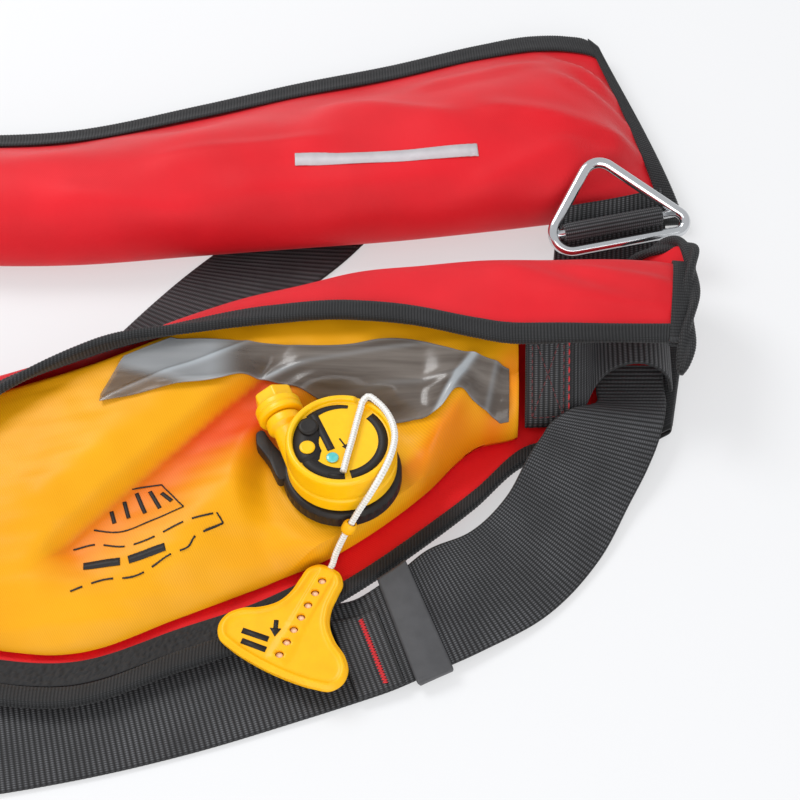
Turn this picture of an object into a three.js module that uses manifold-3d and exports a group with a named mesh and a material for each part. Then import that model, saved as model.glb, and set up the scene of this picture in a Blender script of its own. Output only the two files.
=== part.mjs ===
// Inflatable harness life jacket, lying open on its back.
// Millimetres, +Z up. The two lobes run along X, the collar is at -X,
// the near lobe with the opened cover is at -Y and the far lobe at +Y.
import * as THREE from "three";
import { mergeVertices } from "three/addons/utils/BufferGeometryUtils.js";
import Module from "manifold-3d";

const wasm = await Module();
wasm.setup();
const { Manifold, Mesh } = wasm;

// Driving sizes
const SHIFT_X = 147.2;
const SHIFT_Y = -28.1;
const COVER_WALL = 1.5;
const FIT_GAP = 0.75;
const TAPE = 0.9;
const END_STEP = 4.2;
const BELT_WIDTH = 50;
const BELT_HALF = 0.9;
const CORD_DIAMETER = 2.8;
const RING_WIRE = 5.4;
const BODY_RADIUS = 24.3;
const BASE_RADIUS = 26.4;

const paint = (color, roughness, metalness = 0) =>
  new THREE.MeshStandardMaterial({ color, roughness, metalness });
const RED = paint(0xd8222f, 0.75);
const BLACK = paint(0x262626, 0.85);
const YELLOW = paint(0xf2a72a, 0.6);
const CAP_YELLOW = paint(0xf6c914, 0.4);
const TAB_YELLOW = paint(0xf0b414, 0.45);
const DARK = paint(0x3c3c3c, 0.6);
const CLEAR = paint(0xb9b3a6, 0.25);
const TEAL = paint(0x4bb0ae, 0.35);
const WHITE = paint(0xf0eee8, 0.8);
const STEEL = paint(0xc9ccce, 0.2, 1);

const point = (x, y, z) => new THREE.Vector3(x, y, z);
const mix = (a, b, t) => a + (b - a) * t;
const radians = THREE.MathUtils.degToRad;

// Turns every face outward.
function outward(geometry) {
  const solid = mergeVertices(geometry, 1e-4);
  const p = solid.getAttribute("position");
  const index = Array.from(solid.getIndex().array);
  const [a, b, c] = [point(), point(), point()];
  let volume = 0;
  for (let i = 0; i < index.length; i += 3) {
    a.fromBufferAttribute(p, index[i]);
    b.fromBufferAttribute(p, index[i + 1]);
    c.fromBufferAttribute(p, index[i + 2]);
    volume += a.dot(b.cross(c));
  }
  if (volume < 0) {
    for (let i = 0; i < index.length; i += 3) {
      const first = index[i];
      index[i] = index[i + 1];
      index[i + 1] = first;
    }
    solid.setIndex(index);
  }
  return solid;
}

// Triangles over one flat ring, all turned the same way as the ring.
function capOf(ring) {
  const middle = ring.reduce((sum, p) => sum.add(p), point()).divideScalar(ring.length);
  const normal = point();
  ring.forEach((p, i) => {
    const q = ring[(i + 1) % ring.length];
    normal.add(p.clone().sub(middle).cross(q.clone().sub(middle)));
  });
  normal.normalize();
  const across = ring[1].clone().sub(ring[0]).projectOnPlane(normal).normalize();
  const up = normal.clone().cross(across);
  const flat = ring.map((p) => new THREE.Vector2(p.dot(across), p.dot(up)));
  return THREE.ShapeUtils.triangulateShape(flat, []).map(([a, b, c]) => {
    const turn = flat[b].clone().sub(flat[a]).cross(flat[c].clone().sub(flat[a]));
    return turn > 0 ? [a, b, c] : [a, c, b];
  });
}

// Closed skin over a row of equal rings. The row either joins its own start or gets two end
// caps: a ladder between the two halves of the end ring, or plain triangles over it.
function skin(rings, joined = false, ladder = true) {
  const count = rings[0].length;
  const geometry = new THREE.BufferGeometry();
  geometry.setFromPoints(rings.flat());
  const index = [];
  const bands = joined ? rings.length : rings.length - 1;
  for (let i = 0; i < bands; i += 1) {
    const a = i * count;
    const b = ((i + 1) % rings.length) * count;
    for (let j = 0; j < count; j += 1) {
      const k = (j + 1) % count;
      index.push(a + j, b + j, b + k, a + j, b + k, a + k);
    }
  }
  const end = (rings.length - 1) * count;
  if (!joined && ladder) {
    for (let j = 0; j < count / 2 - 1; j += 1) {
      const [p, q, r, s] = [j, j + 1, count - 2 - j, count - 1 - j];
      index.push(p, q, r, p, r, s);
      index.push(end + p, end + r, end + q, end + p, end + s, end + r);
    }
  }
  if (!joined && !ladder) {
    capOf(rings[0]).forEach(([a, b, c]) => index.push(a, b, c));
    capOf(rings.at(-1)).forEach(([a, b, c]) => index.push(end + a, end + c, end + b));
  }
  geometry.setIndex(index);
  return outward(geometry);
}

function toSolid(geometry) {
  const plain = new THREE.BufferGeometry();
  plain.setAttribute("position", geometry.getAttribute("position").clone());
  if (geometry.getIndex()) {
    plain.setIndex(geometry.getIndex().clone());
  }
  const closed = outward(plain.getIndex() ? plain : mergeVertices(plain, 1e-4));
  return new Manifold(new Mesh({
    numProp: 3,
    vertProperties: new Float32Array(closed.getAttribute("position").array),
    triVerts: new Uint32Array(closed.getIndex().array),
  }));
}

function toGeometry(solid) {
  const raw = solid.getMesh();
  const geometry = new THREE.BufferGeometry();
  geometry.setAttribute("position", new THREE.BufferAttribute(raw.vertProperties, 3));
  geometry.setIndex(new THREE.BufferAttribute(raw.triVerts, 1));
  return geometry;
}

const joinSolids = (list) => toGeometry(list.map(toSolid).reduce((all, next) => all.add(next)));

// Smooth curve through the rows of a table: one value for each column.
function smoothRow(knots, rows, at) {
  const last = knots.length - 1;
  let i = 0;
  while (i < last - 1 && at > knots[i + 1]) {
    i += 1;
  }
  const slope = (k, c) => {
    if (k === 0) {
      return (rows[1][c] - rows[0][c]) / (knots[1] - knots[0]);
    }
    if (k === last) {
      return (rows[last][c] - rows[last - 1][c]) / (knots[last] - knots[last - 1]);
    }
    const before = knots[k] - knots[k - 1];
    const after = knots[k + 1] - knots[k];
    const s0 = (rows[k][c] - rows[k - 1][c]) / before;
    const s1 = (rows[k + 1][c] - rows[k][c]) / after;
    return (s0 * after + s1 * before) / (before + after);
  };
  const span = knots[i + 1] - knots[i];
  const t = (at - knots[i]) / span;
  const [t2, t3] = [t * t, t * t * t];
  return rows[i].map((value, c) =>
    (2 * t3 - 3 * t2 + 1) * value + (t3 - 2 * t2 + t) * span * slope(i, c)
    + (3 * t2 - 2 * t3) * rows[i + 1][c] + (t3 - t2) * span * slope(i + 1, c));
}

// Weights of a clamped cubic spline with the given number of control points.
function splineWeights(count, t) {
  const spans = count - 3;
  const knot = (i) => Math.min(Math.max(i - 3, 0), spans);
  const u = Math.min(t * spans, spans - 1e-9);
  let weights = [];
  for (let i = 0; i < count + 3; i += 1) {
    weights.push(u >= knot(i) && u < knot(i + 1) ? 1 : 0);
  }
  for (let degree = 1; degree <= 3; degree += 1) {
    const next = [];
    for (let i = 0; i < count + 3 - degree; i += 1) {
      const left = knot(i + degree) - knot(i);
      const right = knot(i + degree + 1) - knot(i + 1);
      const a = left > 0 ? ((u - knot(i)) / left) * weights[i] : 0;
      const b = right > 0 ? ((knot(i + degree + 1) - u) / right) * weights[i + 1] : 0;
      next.push(a + b);
    }
    weights = next;
  }
  return weights;
}

// Sections of the lobes, from the far lobe's end round the collar to the near lobe's end.
// in and out are the fold and the open edge in plan, crown is the height of the front panel,
// lip is how far over the width the front panel reaches, lipZ and hemZ are the heights of the
// front and back edges, base is the underside, low and top shape the bladder inside.
//  inX   inY   outX  outY crown lip  lipZ hemZ base  low  top
const SECTIONS = [
  [139.5, 127, 106.5, 240, 14, 1.0, 11.5, 4.2, 2.6, 0.70, 9],
  [129, 126, 100.5, 246.5, 17, 1.0, 11.5, 4.2, 2.6, 0.70, 10],
  [112, 124.5, 89, 249.5, 30, 1.0, 11.5, 4.2, 2.6, 0.70, 21],
  [88, 122, 71, 249.5, 41.5, 1.0, 11.5, 4.2, 2.6, 0.70, 31],
  [50, 116, 42, 242.5, 46, 1.0, 11.5, 4.2, 2.6, 0.70, 37],
  [0, 109, -5, 227, 46, 1.0, 11.5, 4.2, 2.6, 0.70, 37],
  [-50, 104, -54, 213.5, 45, 1.0, 11.5, 4.2, 2.6, 0.70, 36],
  [-100, 99, -104, 197.5, 45, 1.0, 11.5, 4.2, 2.6, 0.70, 36],
  [-164, 93, -170, 179, 44, 1.0, 11.5, 4.2, 2.6, 0.70, 35],
  [-225, 94, -235, 176, 42, 1.0, 11.5, 4.0, 2.0, 0.70, 33],
  [-296, 101, -311, 185, 40, 1.0, 10.5, 2.6, 0.0, 0.70, 31],
  [-321, 91, -371, 163, 39, 1.0, 10.0, 2.5, 0.0, 0.70, 30],
  [-339, 71, -415, 115, 38, 1.0, 10.0, 2.5, 0.0, 0.70, 29],
  [-347, 40, -435, 40, 38, 1.0, 11.5, 4.2, 2.2, 0.70, 29],
  [-339, 9, -415, -35, 38, 1.0, 11.5, 4.2, 2.6, 0.70, 29],
  [-321, -11, -371, -83, 39, 1.0, 11.5, 4.2, 2.6, 0.70, 30],
  [-296, -21, -311, -112, 41, 0.88, 20.0, 4.6, 2.6, 0.70, 31],
  [-240, -15, -238, -133, 43, 0.52, 38.0, 6.5, 2.6, 0.80, 32],
  [-187, 0, -186, -148, 42, 0.15, 48.0, 8.0, 2.6, 0.84, 36],
  [-141, 14, -140, -152, 39, 0.03, 50.0, 8.6, 2.6, 0.86, 41],
  [-94, 36, -94, -135, 42, 0.095, 50.0, 8.6, 2.6, 0.855, 42.5],
  [-60, 47, -62, -122, 46, 0.135, 50.0, 8.6, 2.6, 0.845, 43],
  [-22, 58, -22, -98, 49, 0.205, 50.0, 9.0, 2.6, 0.85, 43],
  [13, 65, 12, -71, 50, 0.32, 50.0, 9.0, 2.6, 0.81, 43],
  [36, 68, 34, -50, 50, 0.44, 49.0, 7.0, 2.6, 0.75, 41],
  [58, 70, 57, -26, 50, 0.59, 48.0, 6.0, 2.6, 0.86, 39],
  [84, 70, 84, -20, 50, 0.62, 48.0, 5.0, 2.6, 0.70, 30],
  [113.5, 69, 111, -13, 49, 0.66, 47.0, 4.2, 2.6, 0.70, 30],
  [138.5, 67, 125.5, -5, 48, 0.72, 46.0, 4.2, 2.6, 0.70, 30],
];
const SECTION_KNOTS = SECTIONS.reduce((list, row, i) => {
  const before = SECTIONS[i - 1] ?? row;
  const dx = (row[0] + row[2] - before[0] - before[2]) / 2;
  const dy = (row[1] + row[3] - before[1] - before[3]) / 2;
  list.push((list[i - 1] ?? 0) + Math.hypot(dx, dy));
  return list;
}, []);
const LENGTH = SECTION_KNOTS.at(-1);

function sectionAt(distance) {
  const row = smoothRow(SECTION_KNOTS, SECTIONS, distance);
  const [inX, inY, outX, outY, crown, lip, lipZ, hemZ, baseZ, low, top] = row;
  const base = Math.max(baseZ, 0);
  const width = Math.hypot(outX - inX, outY - inY);
  const [dirX, dirY] = [(outX - inX) / width, (outY - inY) / width];
  const place = (n, z) => point(inX + dirX * n, inY + dirY * n, z);
  return { width, crown, lip, lipZ, hemZ, base, low, top, place };
}

// Front lip, over the crown, round the fold and along the back panel to the hem.
function panelControls(s) {
  const f = s.lip * s.width;
  const shoulder = mix(0.45, 0, THREE.MathUtils.smoothstep(s.lip, 0.75, 1));
  return [
    [f, s.lipZ],
    [0.86 * f, mix(s.lipZ, 1.05 * s.crown, shoulder)],
    [0.54 * f, 1.06 * s.crown],
    [0.14 * f, 1.02 * s.crown],
    [-0.05 * s.width, 0.62 * s.crown],
    [-0.035 * s.width, s.base],
    [0.2 * s.width, s.base],
    [0.66 * s.width, s.base],
    [s.width, s.hemZ],
  ];
}

const PANEL_STEPS = 12;
const PANEL_WEIGHTS = Array.from({ length: PANEL_STEPS + 1 }, (_, i) =>
  splineWeights(9, i / PANEL_STEPS));

// Outer line of the cover at one station with the outward direction at each point.
function panelLine(s) {
  const controls = panelControls(s);
  const line = PANEL_WEIGHTS.map((weights) => [
    weights.reduce((sum, w, i) => sum + w * controls[i][0], 0),
    weights.reduce((sum, w, i) => sum + w * controls[i][1], 0),
  ]);
  return line.map((at, i) => {
    const before = line[Math.max(i - 1, 0)];
    const after = line[Math.min(i + 1, line.length - 1)];
    const [tn, tz] = [after[0] - before[0], after[1] - before[1]];
    const size = Math.hypot(tn, tz);
    return { at, out: [tz / size, -tn / size] };
  });
}

const shifted = (s, p, by) => s.place(p.at[0] + p.out[0] * by, p.at[1] + p.out[1] * by);

// Stations along the lobes; the ends get two extra ones under the end bindings.
const FAR_ROWS = 7;
const inner = SECTION_KNOTS.slice(2, -1).flatMap((knot, i) => {
  const next = SECTION_KNOTS[i + 3];
  return i < FAR_ROWS ? [knot] : [knot, (knot + next) / 2];
}).filter((d) => d > 3 * END_STEP && d < LENGTH - 3 * END_STEP);
const STATIONS = [
  0, END_STEP, 2 * END_STEP, SECTION_KNOTS[1] > 2.6 * END_STEP ? SECTION_KNOTS[1] : 3 * END_STEP,
  ...inner,
  LENGTH - 2 * END_STEP, LENGTH - END_STEP, LENGTH,
];

const COVER_LINES = STATIONS.map((d) => {
  const s = sectionAt(d);
  return { s, line: panelLine(s) };
});

const coverGeometry = skin(COVER_LINES.map(({ s, line }) => [
  ...line.map((p) => shifted(s, p, 0)),
  ...line.map((p) => shifted(s, p, -COVER_WALL)).reverse(),
]));

// A point that lies a given distance from the start of a panel line.
function alongLine(line, distance) {
  let left = distance;
  for (let i = 0; i < line.length - 1; i += 1) {
    const [p, q] = [line[i], line[i + 1]];
    const step = Math.hypot(q.at[0] - p.at[0], q.at[1] - p.at[1]);
    if (left <= step) {
      const t = left / step;
      const across = [q.at[1] - p.at[1], p.at[0] - q.at[0]];
      const facing = Math.sign(across[0] * p.out[0] + across[1] * p.out[1]) / step;
      return {
        at: [mix(p.at[0], q.at[0], t), mix(p.at[1], q.at[1], t)],
        out: t < 0.02 || t > 0.98
          ? [mix(p.out[0], q.out[0], t), mix(p.out[1], q.out[1], t)]
          : [across[0] * facing, across[1] * facing],
      };
    }
    left -= step;
  }
  return line.at(-1);
}

// Folded tape round one lip: outer face of the U, then its inner face back again.
function lipTape({ s, line }) {
  const width = mix(7.2, 10.5, THREE.MathUtils.smoothstep(s.lip, 0.75, 1));
  const legs = [width, width / 2, 0].map((d) => alongLine(line, d));
  const edge = legs[2];
  const ahead = legs[1];
  const run = Math.hypot(ahead.at[0] - edge.at[0], ahead.at[1] - edge.at[1]);
  const back = [(edge.at[0] - ahead.at[0]) / run, (edge.at[1] - ahead.at[1]) / run];
  const face = (depth) => {
    const end = { at: [edge.at[0] + back[0] * depth, edge.at[1] + back[1] * depth], out: edge.out };
    const outside = [legs[0], legs[1], end].map((p) => shifted(s, p, depth));
    const inside = [end, legs[1], legs[0]].map((p) => shifted(s, p, -COVER_WALL - depth));
    return [...outside, ...inside];
  };
  return [...face(FIT_GAP + TAPE), ...face(FIT_GAP).reverse()];
}

const LIP_LINES = COVER_LINES.slice(2, -2);
const frontBinding = skin(LIP_LINES.map(lipTape));
const backBinding = skin(LIP_LINES.map(({ s, line }) => lipTape({ s, line: [...line].reverse() })));

// Folded tape round the whole cut edge at one end of a lobe.
function endTape(lines) {
  const [edge, middle, far] = lines;
  return skin(edge.line.map((_, j) => {
    const spots = [far, middle, edge].map((l) => ({
      p: shifted(l.s, l.line[j], 0),
      out: shifted(l.s, l.line[j], 1).sub(shifted(l.s, l.line[j], 0)),
    }));
    const reach = spots[2].p.clone().sub(spots[1].p).normalize();
    const far10 = spots[1].p.clone().lerp(spots[0].p, 0.82);
    const leg = [
      { p: far10, out: spots[0].out },
      { p: spots[1].p, out: spots[1].out },
      { p: spots[2].p, out: spots[2].out },
    ];
    const face = (depth) => {
      const side = (by) => leg.map(({ p, out }, i) => {
        const q = p.clone().addScaledVector(out, by);
        return i === 2 ? q.addScaledVector(reach, depth) : q;
      });
      return [...side(depth), ...side(-COVER_WALL - depth).reverse()];
    };
    return [...face(FIT_GAP + TAPE), ...face(FIT_GAP).reverse()];
  }));
}
const farEndBinding = endTape(COVER_LINES.slice(0, 3));
const nearEndBinding = endTape(COVER_LINES.slice(-3).reverse());

// Loop tape along the inside of the near hem, beside the binding.
const LOOP_TAPE = { from: 8.6, to: 19.5, gap: 0.4, thick: 1.2, start: -215, end: -38 };
const nearLines = COVER_LINES.filter(({ s }) => {
  const hem = s.place(s.width, 0);
  return hem.y < 0 && hem.x > LOOP_TAPE.start && hem.x < LOOP_TAPE.end;
});
const loopTape = skin(nearLines.map(({ s, line }) => {
  const spots = [LOOP_TAPE.from, (LOOP_TAPE.from + LOOP_TAPE.to) / 2, LOOP_TAPE.to]
    .map((d) => alongLine([...line].reverse(), d));
  const depth = COVER_WALL + LOOP_TAPE.gap;
  return [
    ...spots.map((p) => shifted(s, p, -depth)),
    ...spots.map((p) => shifted(s, p, -depth - LOOP_TAPE.thick)).reverse(),
  ];
}));

// Folds of the bladder in plan: a ridge (or furrow, if negative) from one point to another,
// with its own softness on the left and the right side of that line.
//  x0    y0   x1   y1  height left right
const FOLDS = [
  [-143, -81, -66, -3, -9, 4, 20],
  [-158, -62, -102, -12, 4, 18, 12],
  [3, -66, 26, -14, 7, 13, 4],
  [40, -26, 50, 6, -5, 6, 8],
  [-96, -86, -58, -40, 4, 14, 14],
  [-52, -78, 2, -70, -3, 8, 10],
];
function foldHeight(x, y) {
  return FOLDS.reduce((sum, [x0, y0, x1, y1, height, left, right]) => {
    const [dx, dy] = [x1 - x0, y1 - y0];
    const size = Math.hypot(dx, dy);
    const along = ((x - x0) * dx + (y - y0) * dy) / (size * size);
    const across = ((x - x0) * -dy + (y - y0) * dx) / size;
    const beyond = Math.max(-along, along - 1, 0) * size;
    const soft = across > 0 ? left : right;
    return sum + height * Math.exp(-((across / soft) ** 2) - (beyond / 14) ** 2);
  }, 0);
}

// The inflator stands on a flat seat of the bladder.
const INFLATOR = { x: -25.5, y: -49.2, z: 27 };
const SEAT = { z: 25.8, flat: 34, fade: 50 };

const BLADDER = { inset: 7, under: 0.8, edge: 5.5, topSteps: 11, fromX: 112, toX: 55, step: 11 };
// Height of the cover's inside at one distance from the fold.
function lining(s, line, n) {
  const back = line.slice(7).map((p) => [
    p.at[0] - p.out[0] * COVER_WALL,
    p.at[1] - p.out[1] * COVER_WALL,
  ]);
  const i = Math.max(back.findIndex(([at]) => at > n), 1);
  const t = (n - back[i - 1][0]) / (back[i][0] - back[i - 1][0]);
  return mix(back[i - 1][1], back[i][1], t);
}
// The bladder's crest and its low edge, as distances from the fold.
function bladderSpan(s) {
  const open = 1 - THREE.MathUtils.smoothstep(s.lip, 0.2, 0.8);
  return [mix(0.1, 0.03, open) * s.width + BLADDER.inset, s.low * s.width];
}
function bladderTop(s, u) {
  const [from, to] = bladderSpan(s);
  const edge = s.base + COVER_WALL + BLADDER.under + BLADDER.edge;
  const spot = s.place(mix(from, to, u), 0);
  const steep = spot.y < 60 ? 2 + 4 * THREE.MathUtils.smoothstep(spot.x, 8, 36) : 2;
  spot.z = edge + (s.top - edge) * Math.pow(Math.max(1 - u ** steep, 0), 0.62);
  const open = THREE.MathUtils.smoothstep(spot.x, -215, -150) * (spot.y < 60 ? 1 : 0);
  const calm = 1 - THREE.MathUtils.smoothstep(u, 0.86, 1);
  spot.z = Math.max(spot.z + foldHeight(spot.x, spot.y) * open * calm, edge);
  const away = Math.hypot(spot.x - INFLATOR.x, spot.y - INFLATOR.y);
  const seated = 1 - THREE.MathUtils.smoothstep(away, SEAT.flat, SEAT.fade);
  spot.z = u < 0.999 ? mix(spot.z, SEAT.z, seated) : spot.z;
  return spot;
}
function bladderLine(s) {
  const line = [];
  for (let i = BLADDER.topSteps; i >= 0; i -= 1) {
    line.push(bladderTop(s, Math.sin((i / BLADDER.topSteps) * Math.PI / 2)));
  }
  return line;
}
function bladderRing(s) {
  const line = panelLine(s);
  const [from, to] = bladderSpan(s);
  const top = bladderLine(s);
  const floor = (n) => lining(s, line, n) + BLADDER.under;
  const side = (turn) => s.place(
    from - (from - BLADDER.inset * 0.55) * Math.sin(turn * Math.PI),
    mix(floor(from), top.at(-1).z, (1 + Math.cos(turn * Math.PI)) / 2),
  );
  const under = [0, 0.55, 0.82].map((t) => mix(from, to - 1.5, t));
  return [
    ...top, side(0.3), side(0.55), side(0.8),
    ...[...under, to - 1.5].map((n) => s.place(n, floor(n))),
  ];
}
const BLADDER_STATIONS = [];
for (let d = 0; d < LENGTH; d += BLADDER.step) {
  const s = sectionAt(d);
  const hem = s.place(s.width, 0);
  const near = hem.y < 60 && hem.x > -215;
  const skip = !near && BLADDER_STATIONS.length && d - BLADDER_STATIONS.at(-1) < 2.6 * BLADDER.step;
  const within = hem.y > 100 ? s.place(0, 0).x < BLADDER.fromX : hem.x < BLADDER.toX;
  if (within && !skip) {
    BLADDER_STATIONS.push(d);
  }
}
const bladderGeometry = skin(BLADDER_STATIONS.map((d) => bladderRing(sectionAt(d))), false, false);

// Clear window film on the bladder: lower and upper edge of the film in plan.
//   x   lowY  topY
const WINDOW = [
  [-134, -19, -15],
  [-121, -16.5, 15.5],
  [-99, -10, 17],
  [-82, -5, 17],
  [-66, 0, 15],
  [-51, -5, 14],
  [-36, -10, 14],
  [-22, -14, 15],
  [-9, -18, 18],
  [5, -20, 18],
  [18, -19, 14],
  [25, -11, 12],
  [33, -11, 10],
  [50, -16, 7],
];
const FILM = { lift: 3.0, thick: 0.6, steps: 5 };
const windowKnots = WINDOW.map((row) => row[0]);
const windowRings = BLADDER_STATIONS.map((d) => bladderLine(sectionAt(d)))
  .filter((line) => line[0].y < 0 && line[0].x > windowKnots[0] && line[0].x < windowKnots.at(-1))
  .map((line) => {
    const [, low, high] = smoothRow(windowKnots, WINDOW, line[0].x);
    const spots = [];
    for (let i = 0; i <= FILM.steps; i += 1) {
      const y = mix(Math.max(low, line[2].y), Math.min(high, line.at(-1).y - 1), i / FILM.steps);
      const k = Math.min(Math.max(line.findIndex((p) => p.y > y), 1), line.length - 1);
      const t = (y - line[k - 1].y) / (line[k].y - line[k - 1].y);
      spots.push(line[k - 1].clone().lerp(line[k], Math.min(t, 1)));
    }
    const lifted = (by) => spots.map((p) => p.clone().add(point(0, 0, by)));
    return [...lifted(FILM.lift + FILM.thick), ...lifted(FILM.lift).reverse()];
  });
const windowGeometry = skin(windowRings);

// A solid of revolution about Z through the inflator's middle; profile as radius, height.
const turned = (profile, sides) =>
  new THREE.LatheGeometry(profile.map(([r, z]) => new THREE.Vector2(r, z)), sides)
    .rotateX(Math.PI / 2);
// A solid along the straight line from one point to another.
function rod(from, to, radius, sides) {
  const along = to.clone().sub(from);
  const shape = new THREE.CylinderGeometry(radius, radius, along.length(), sides);
  const turn = new THREE.Quaternion().setFromUnitVectors(point(0, 1, 0), along.clone().normalize());
  shape.applyQuaternion(turn);
  return shape.translate(...from.clone().lerp(to, 0.5).toArray());
}
const seat = (geometry) => geometry.translate(INFLATOR.x, INFLATOR.y, INFLATOR.z);

const lug = new THREE.BoxGeometry(12, 15, 6).rotateZ(radians(20)).translate(-28, 5, 5.8);
const inflatorBase = seat(joinSolids([
  turned([[17, 0], [25.2, 0], [BASE_RADIUS, 1.4], [BASE_RADIUS, 7], [25, 9], [17, 9], [17, 0]], 24),
  lug,
]));
const faceZ = 28.6;
const housing = turned([
  [0, 9.4], [23.2, 9.4], [BODY_RADIUS, 10.6], [BODY_RADIUS, 16.8], [23.5, 17.5], [23.5, 19],
  [BODY_RADIUS, 19.7], [BODY_RADIUS, 29.8], [23.3, 31], [21.9, 31], [21.2, 30.2], [21.2, faceZ],
  [0, faceZ],
], 24);
const pipeRoot = point(-17, -4, 16);
const pipeEnd = point(-26.6, 20, 18.2);
const capEnd = point(-31.6, 32.5, 19.4);
const pipe = rod(pipeRoot, pipeEnd, 6.6, 12);
const notch = new THREE.BoxGeometry(4.6, 8, 5).rotateZ(radians(-22)).translate(8.4, 21.4, 30.4);
const inflatorBody = seat(toGeometry(
  toSolid(housing).add(toSolid(pipe)).subtract(toSolid(notch)),
));
const capStart = pipeEnd.clone().lerp(capEnd, 0.03);
const inletCap = seat(joinSolids([
  rod(capStart, capStart.clone().lerp(capEnd, 0.55), 10.4, 14),
  rod(capStart.clone().lerp(capEnd, 0.5), capEnd, 9.2, 6),
]));
const armingButton = seat(turned([[0, 0], [4.4, 0], [4.4, 0.9], [3.6, 1.5], [0, 1.5]], 16)
  .translate(-14.4, 7.2, faceZ + 0.3));
const statusWindow = seat(turned([[0, 0], [2.7, 0], [2.7, 0.6], [2.2, 1], [0, 1]], 14)
  .translate(-3.6, -9, faceZ + 0.3));

// Pull cord: from the slot in the face, out over the notch, round the rim and down to the tab.
//   x     y     z
const CORD_POINTS = [
  [-24.3, -66.4, 57.4],
  [-22.8, -59, 57.4],
  [-20.6, -49, 57.4],
  [-18.6, -39, 57.4],
  [-17.2, -33, 57.7],
  [-16.2, -30.2, 59.3],
  [-13.8, -28.2, 60.0],
  [-9.8, -31.2, 59.8],
  [-6.4, -35.6, 59.8],
  [-3.6, -41.5, 59.8],
  [-2.3, -48.5, 59.8],
  [-3.0, -55.6, 59.8],
  [-5.2, -63.2, 59.7],
  [-8.4, -69.4, 57.6],
  [-12.6, -73.8, 51.8],
  [-17.6, -77.2, 43.6],
  [-21.6, -80.0, 36],
  [-25.2, -82.4, 28.2],
  [-28.0, -84.8, 21],
  [-29.7, -87.3, 16.0],
];
const circle = (radius, sides) => new THREE.Shape(Array.from({ length: sides }, (_, i) => {
  const a = (i / sides) * 2 * Math.PI;
  return new THREE.Vector2(radius * Math.cos(a), radius * Math.sin(a));
}));
const cordPath = new THREE.CatmullRomCurve3(CORD_POINTS.map((p) => point(...p)));
const pullCord = new THREE.ExtrudeGeometry(circle(CORD_DIAMETER / 2, 8), {
  steps: 34,
  extrudePath: cordPath,
  bevelEnabled: false,
});

// Pull tab: a T with a row of holes down its stem. Outline as distance down the stem, sideways.
const TAB_OUTLINE = [
  [-8, 0], [-7, 5.2], [-3.4, 8.6], [3, 9.4], [10, 10], [17, 12.6], [23, 18.4], [27.4, 25.4],
  [32.5, 29.4], [39, 30], [44, 27], [46.4, 20], [48, 9], [48.4, 0],
];
const TAB = { thick: 3.4, hole: 1.5, holes: 7, pitch: 6.6 };
const TAB_TOP = point(-33.9, -95.9, 15.2);
const tabUp = point(0.0416, -0.078, 1).normalize();
const tabDown = point(-0.438, -0.899, 0).projectOnPlane(tabUp).normalize();
const tabSide = tabUp.clone().cross(tabDown).normalize();
const tabLoop = [...TAB_OUTLINE, ...TAB_OUTLINE.slice(1, -1).reverse().map(([a, b]) => [a, -b])];
const tabShape = new THREE.Shape(tabLoop.map(([a, b]) => new THREE.Vector2(a, b)));
for (let i = 0; i < TAB.holes; i += 1) {
  const hole = circle(TAB.hole, 8).getPoints().map((p) => p.add(new THREE.Vector2(i * TAB.pitch, 0)));
  tabShape.holes.push(new THREE.Path(hole));
}
const tabBasis = new THREE.Matrix4().makeBasis(tabDown, tabSide, tabUp).setPosition(TAB_TOP);
const pullTab = new THREE.ExtrudeGeometry(tabShape, {
  depth: TAB.thick,
  bevelEnabled: false,
}).translate(0, 0, -TAB.thick / 2).applyMatrix4(tabBasis);

const beadAt = cordPath.getPointAt(0.845);
const beadAlong = cordPath.getTangentAt(0.845);
const beadBore = CORD_DIAMETER / 2 + 0.35;
const cordBead = new THREE.LatheGeometry([
  [beadBore, -2.6], [2.4, -2.9], [3.2, -1.4], [3.2, 1.4], [2.4, 2.9], [beadBore, 2.6], [beadBore, -2.6],
].map(([r, z]) => new THREE.Vector2(r, z)), 12)
  .applyQuaternion(new THREE.Quaternion().setFromUnitVectors(point(0, 1, 0), beadAlong))
  .translate(...beadAt.toArray());

// Straps as rows: one edge in space, then the direction across the strap and how steeply it rises.
//   x    y     z   turn rise width
const BELT = [
  [124, 28, 9.0, 180, 0, 31],
  [124, 14, 9.5, 180, 0, 32],
  [124, 4, 11.5, 180, 1, 33],
  [122.5, -5, 12.5, 179, 9, 43],
  [119, -17, 10.5, 174, 11, 50],
  [113, -31, 8.0, 168, 13.5, 51],
  [104.5, -47, 5.0, 161, 17, 51],
  [89, -76, 2.2, 153, 22, 50.5],
  [64, -105, 1.8, 139, 26, 50],
  [36, -123, 3.2, 122, 21, 50],
  [12, -135.5, 4.0, 111, 13, 46.5],
  [-3, -142, 2.6, 110, 2.2, 47],
  [-18, -147.5, 2.0, 109, 2.5, 49],
  [-44, -156.5, 1.3, 108, 2.5, 50],
  [-84, -170, 1.0, 107, 3, 50],
  [-137, -184, 1.0, 104, 3, 50],
  [-190, -193, 1.0, 99, 3, 50],
  [-240, -195, 1.0, 91, 5, 50],
  [-290, -187, 1.0, 78, 6, 50],
  [-335, -164, 1.0, 60, 1.5, 50],
  [-368, -130, 1.0, 40, 0, 50],
  [-389, -93, 1.0, 24, 0, 50],
  [-397, -58, 1.0, 10, 0, 50],
  [-398, -25, 1.0, 2, 0, 50],
];
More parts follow.
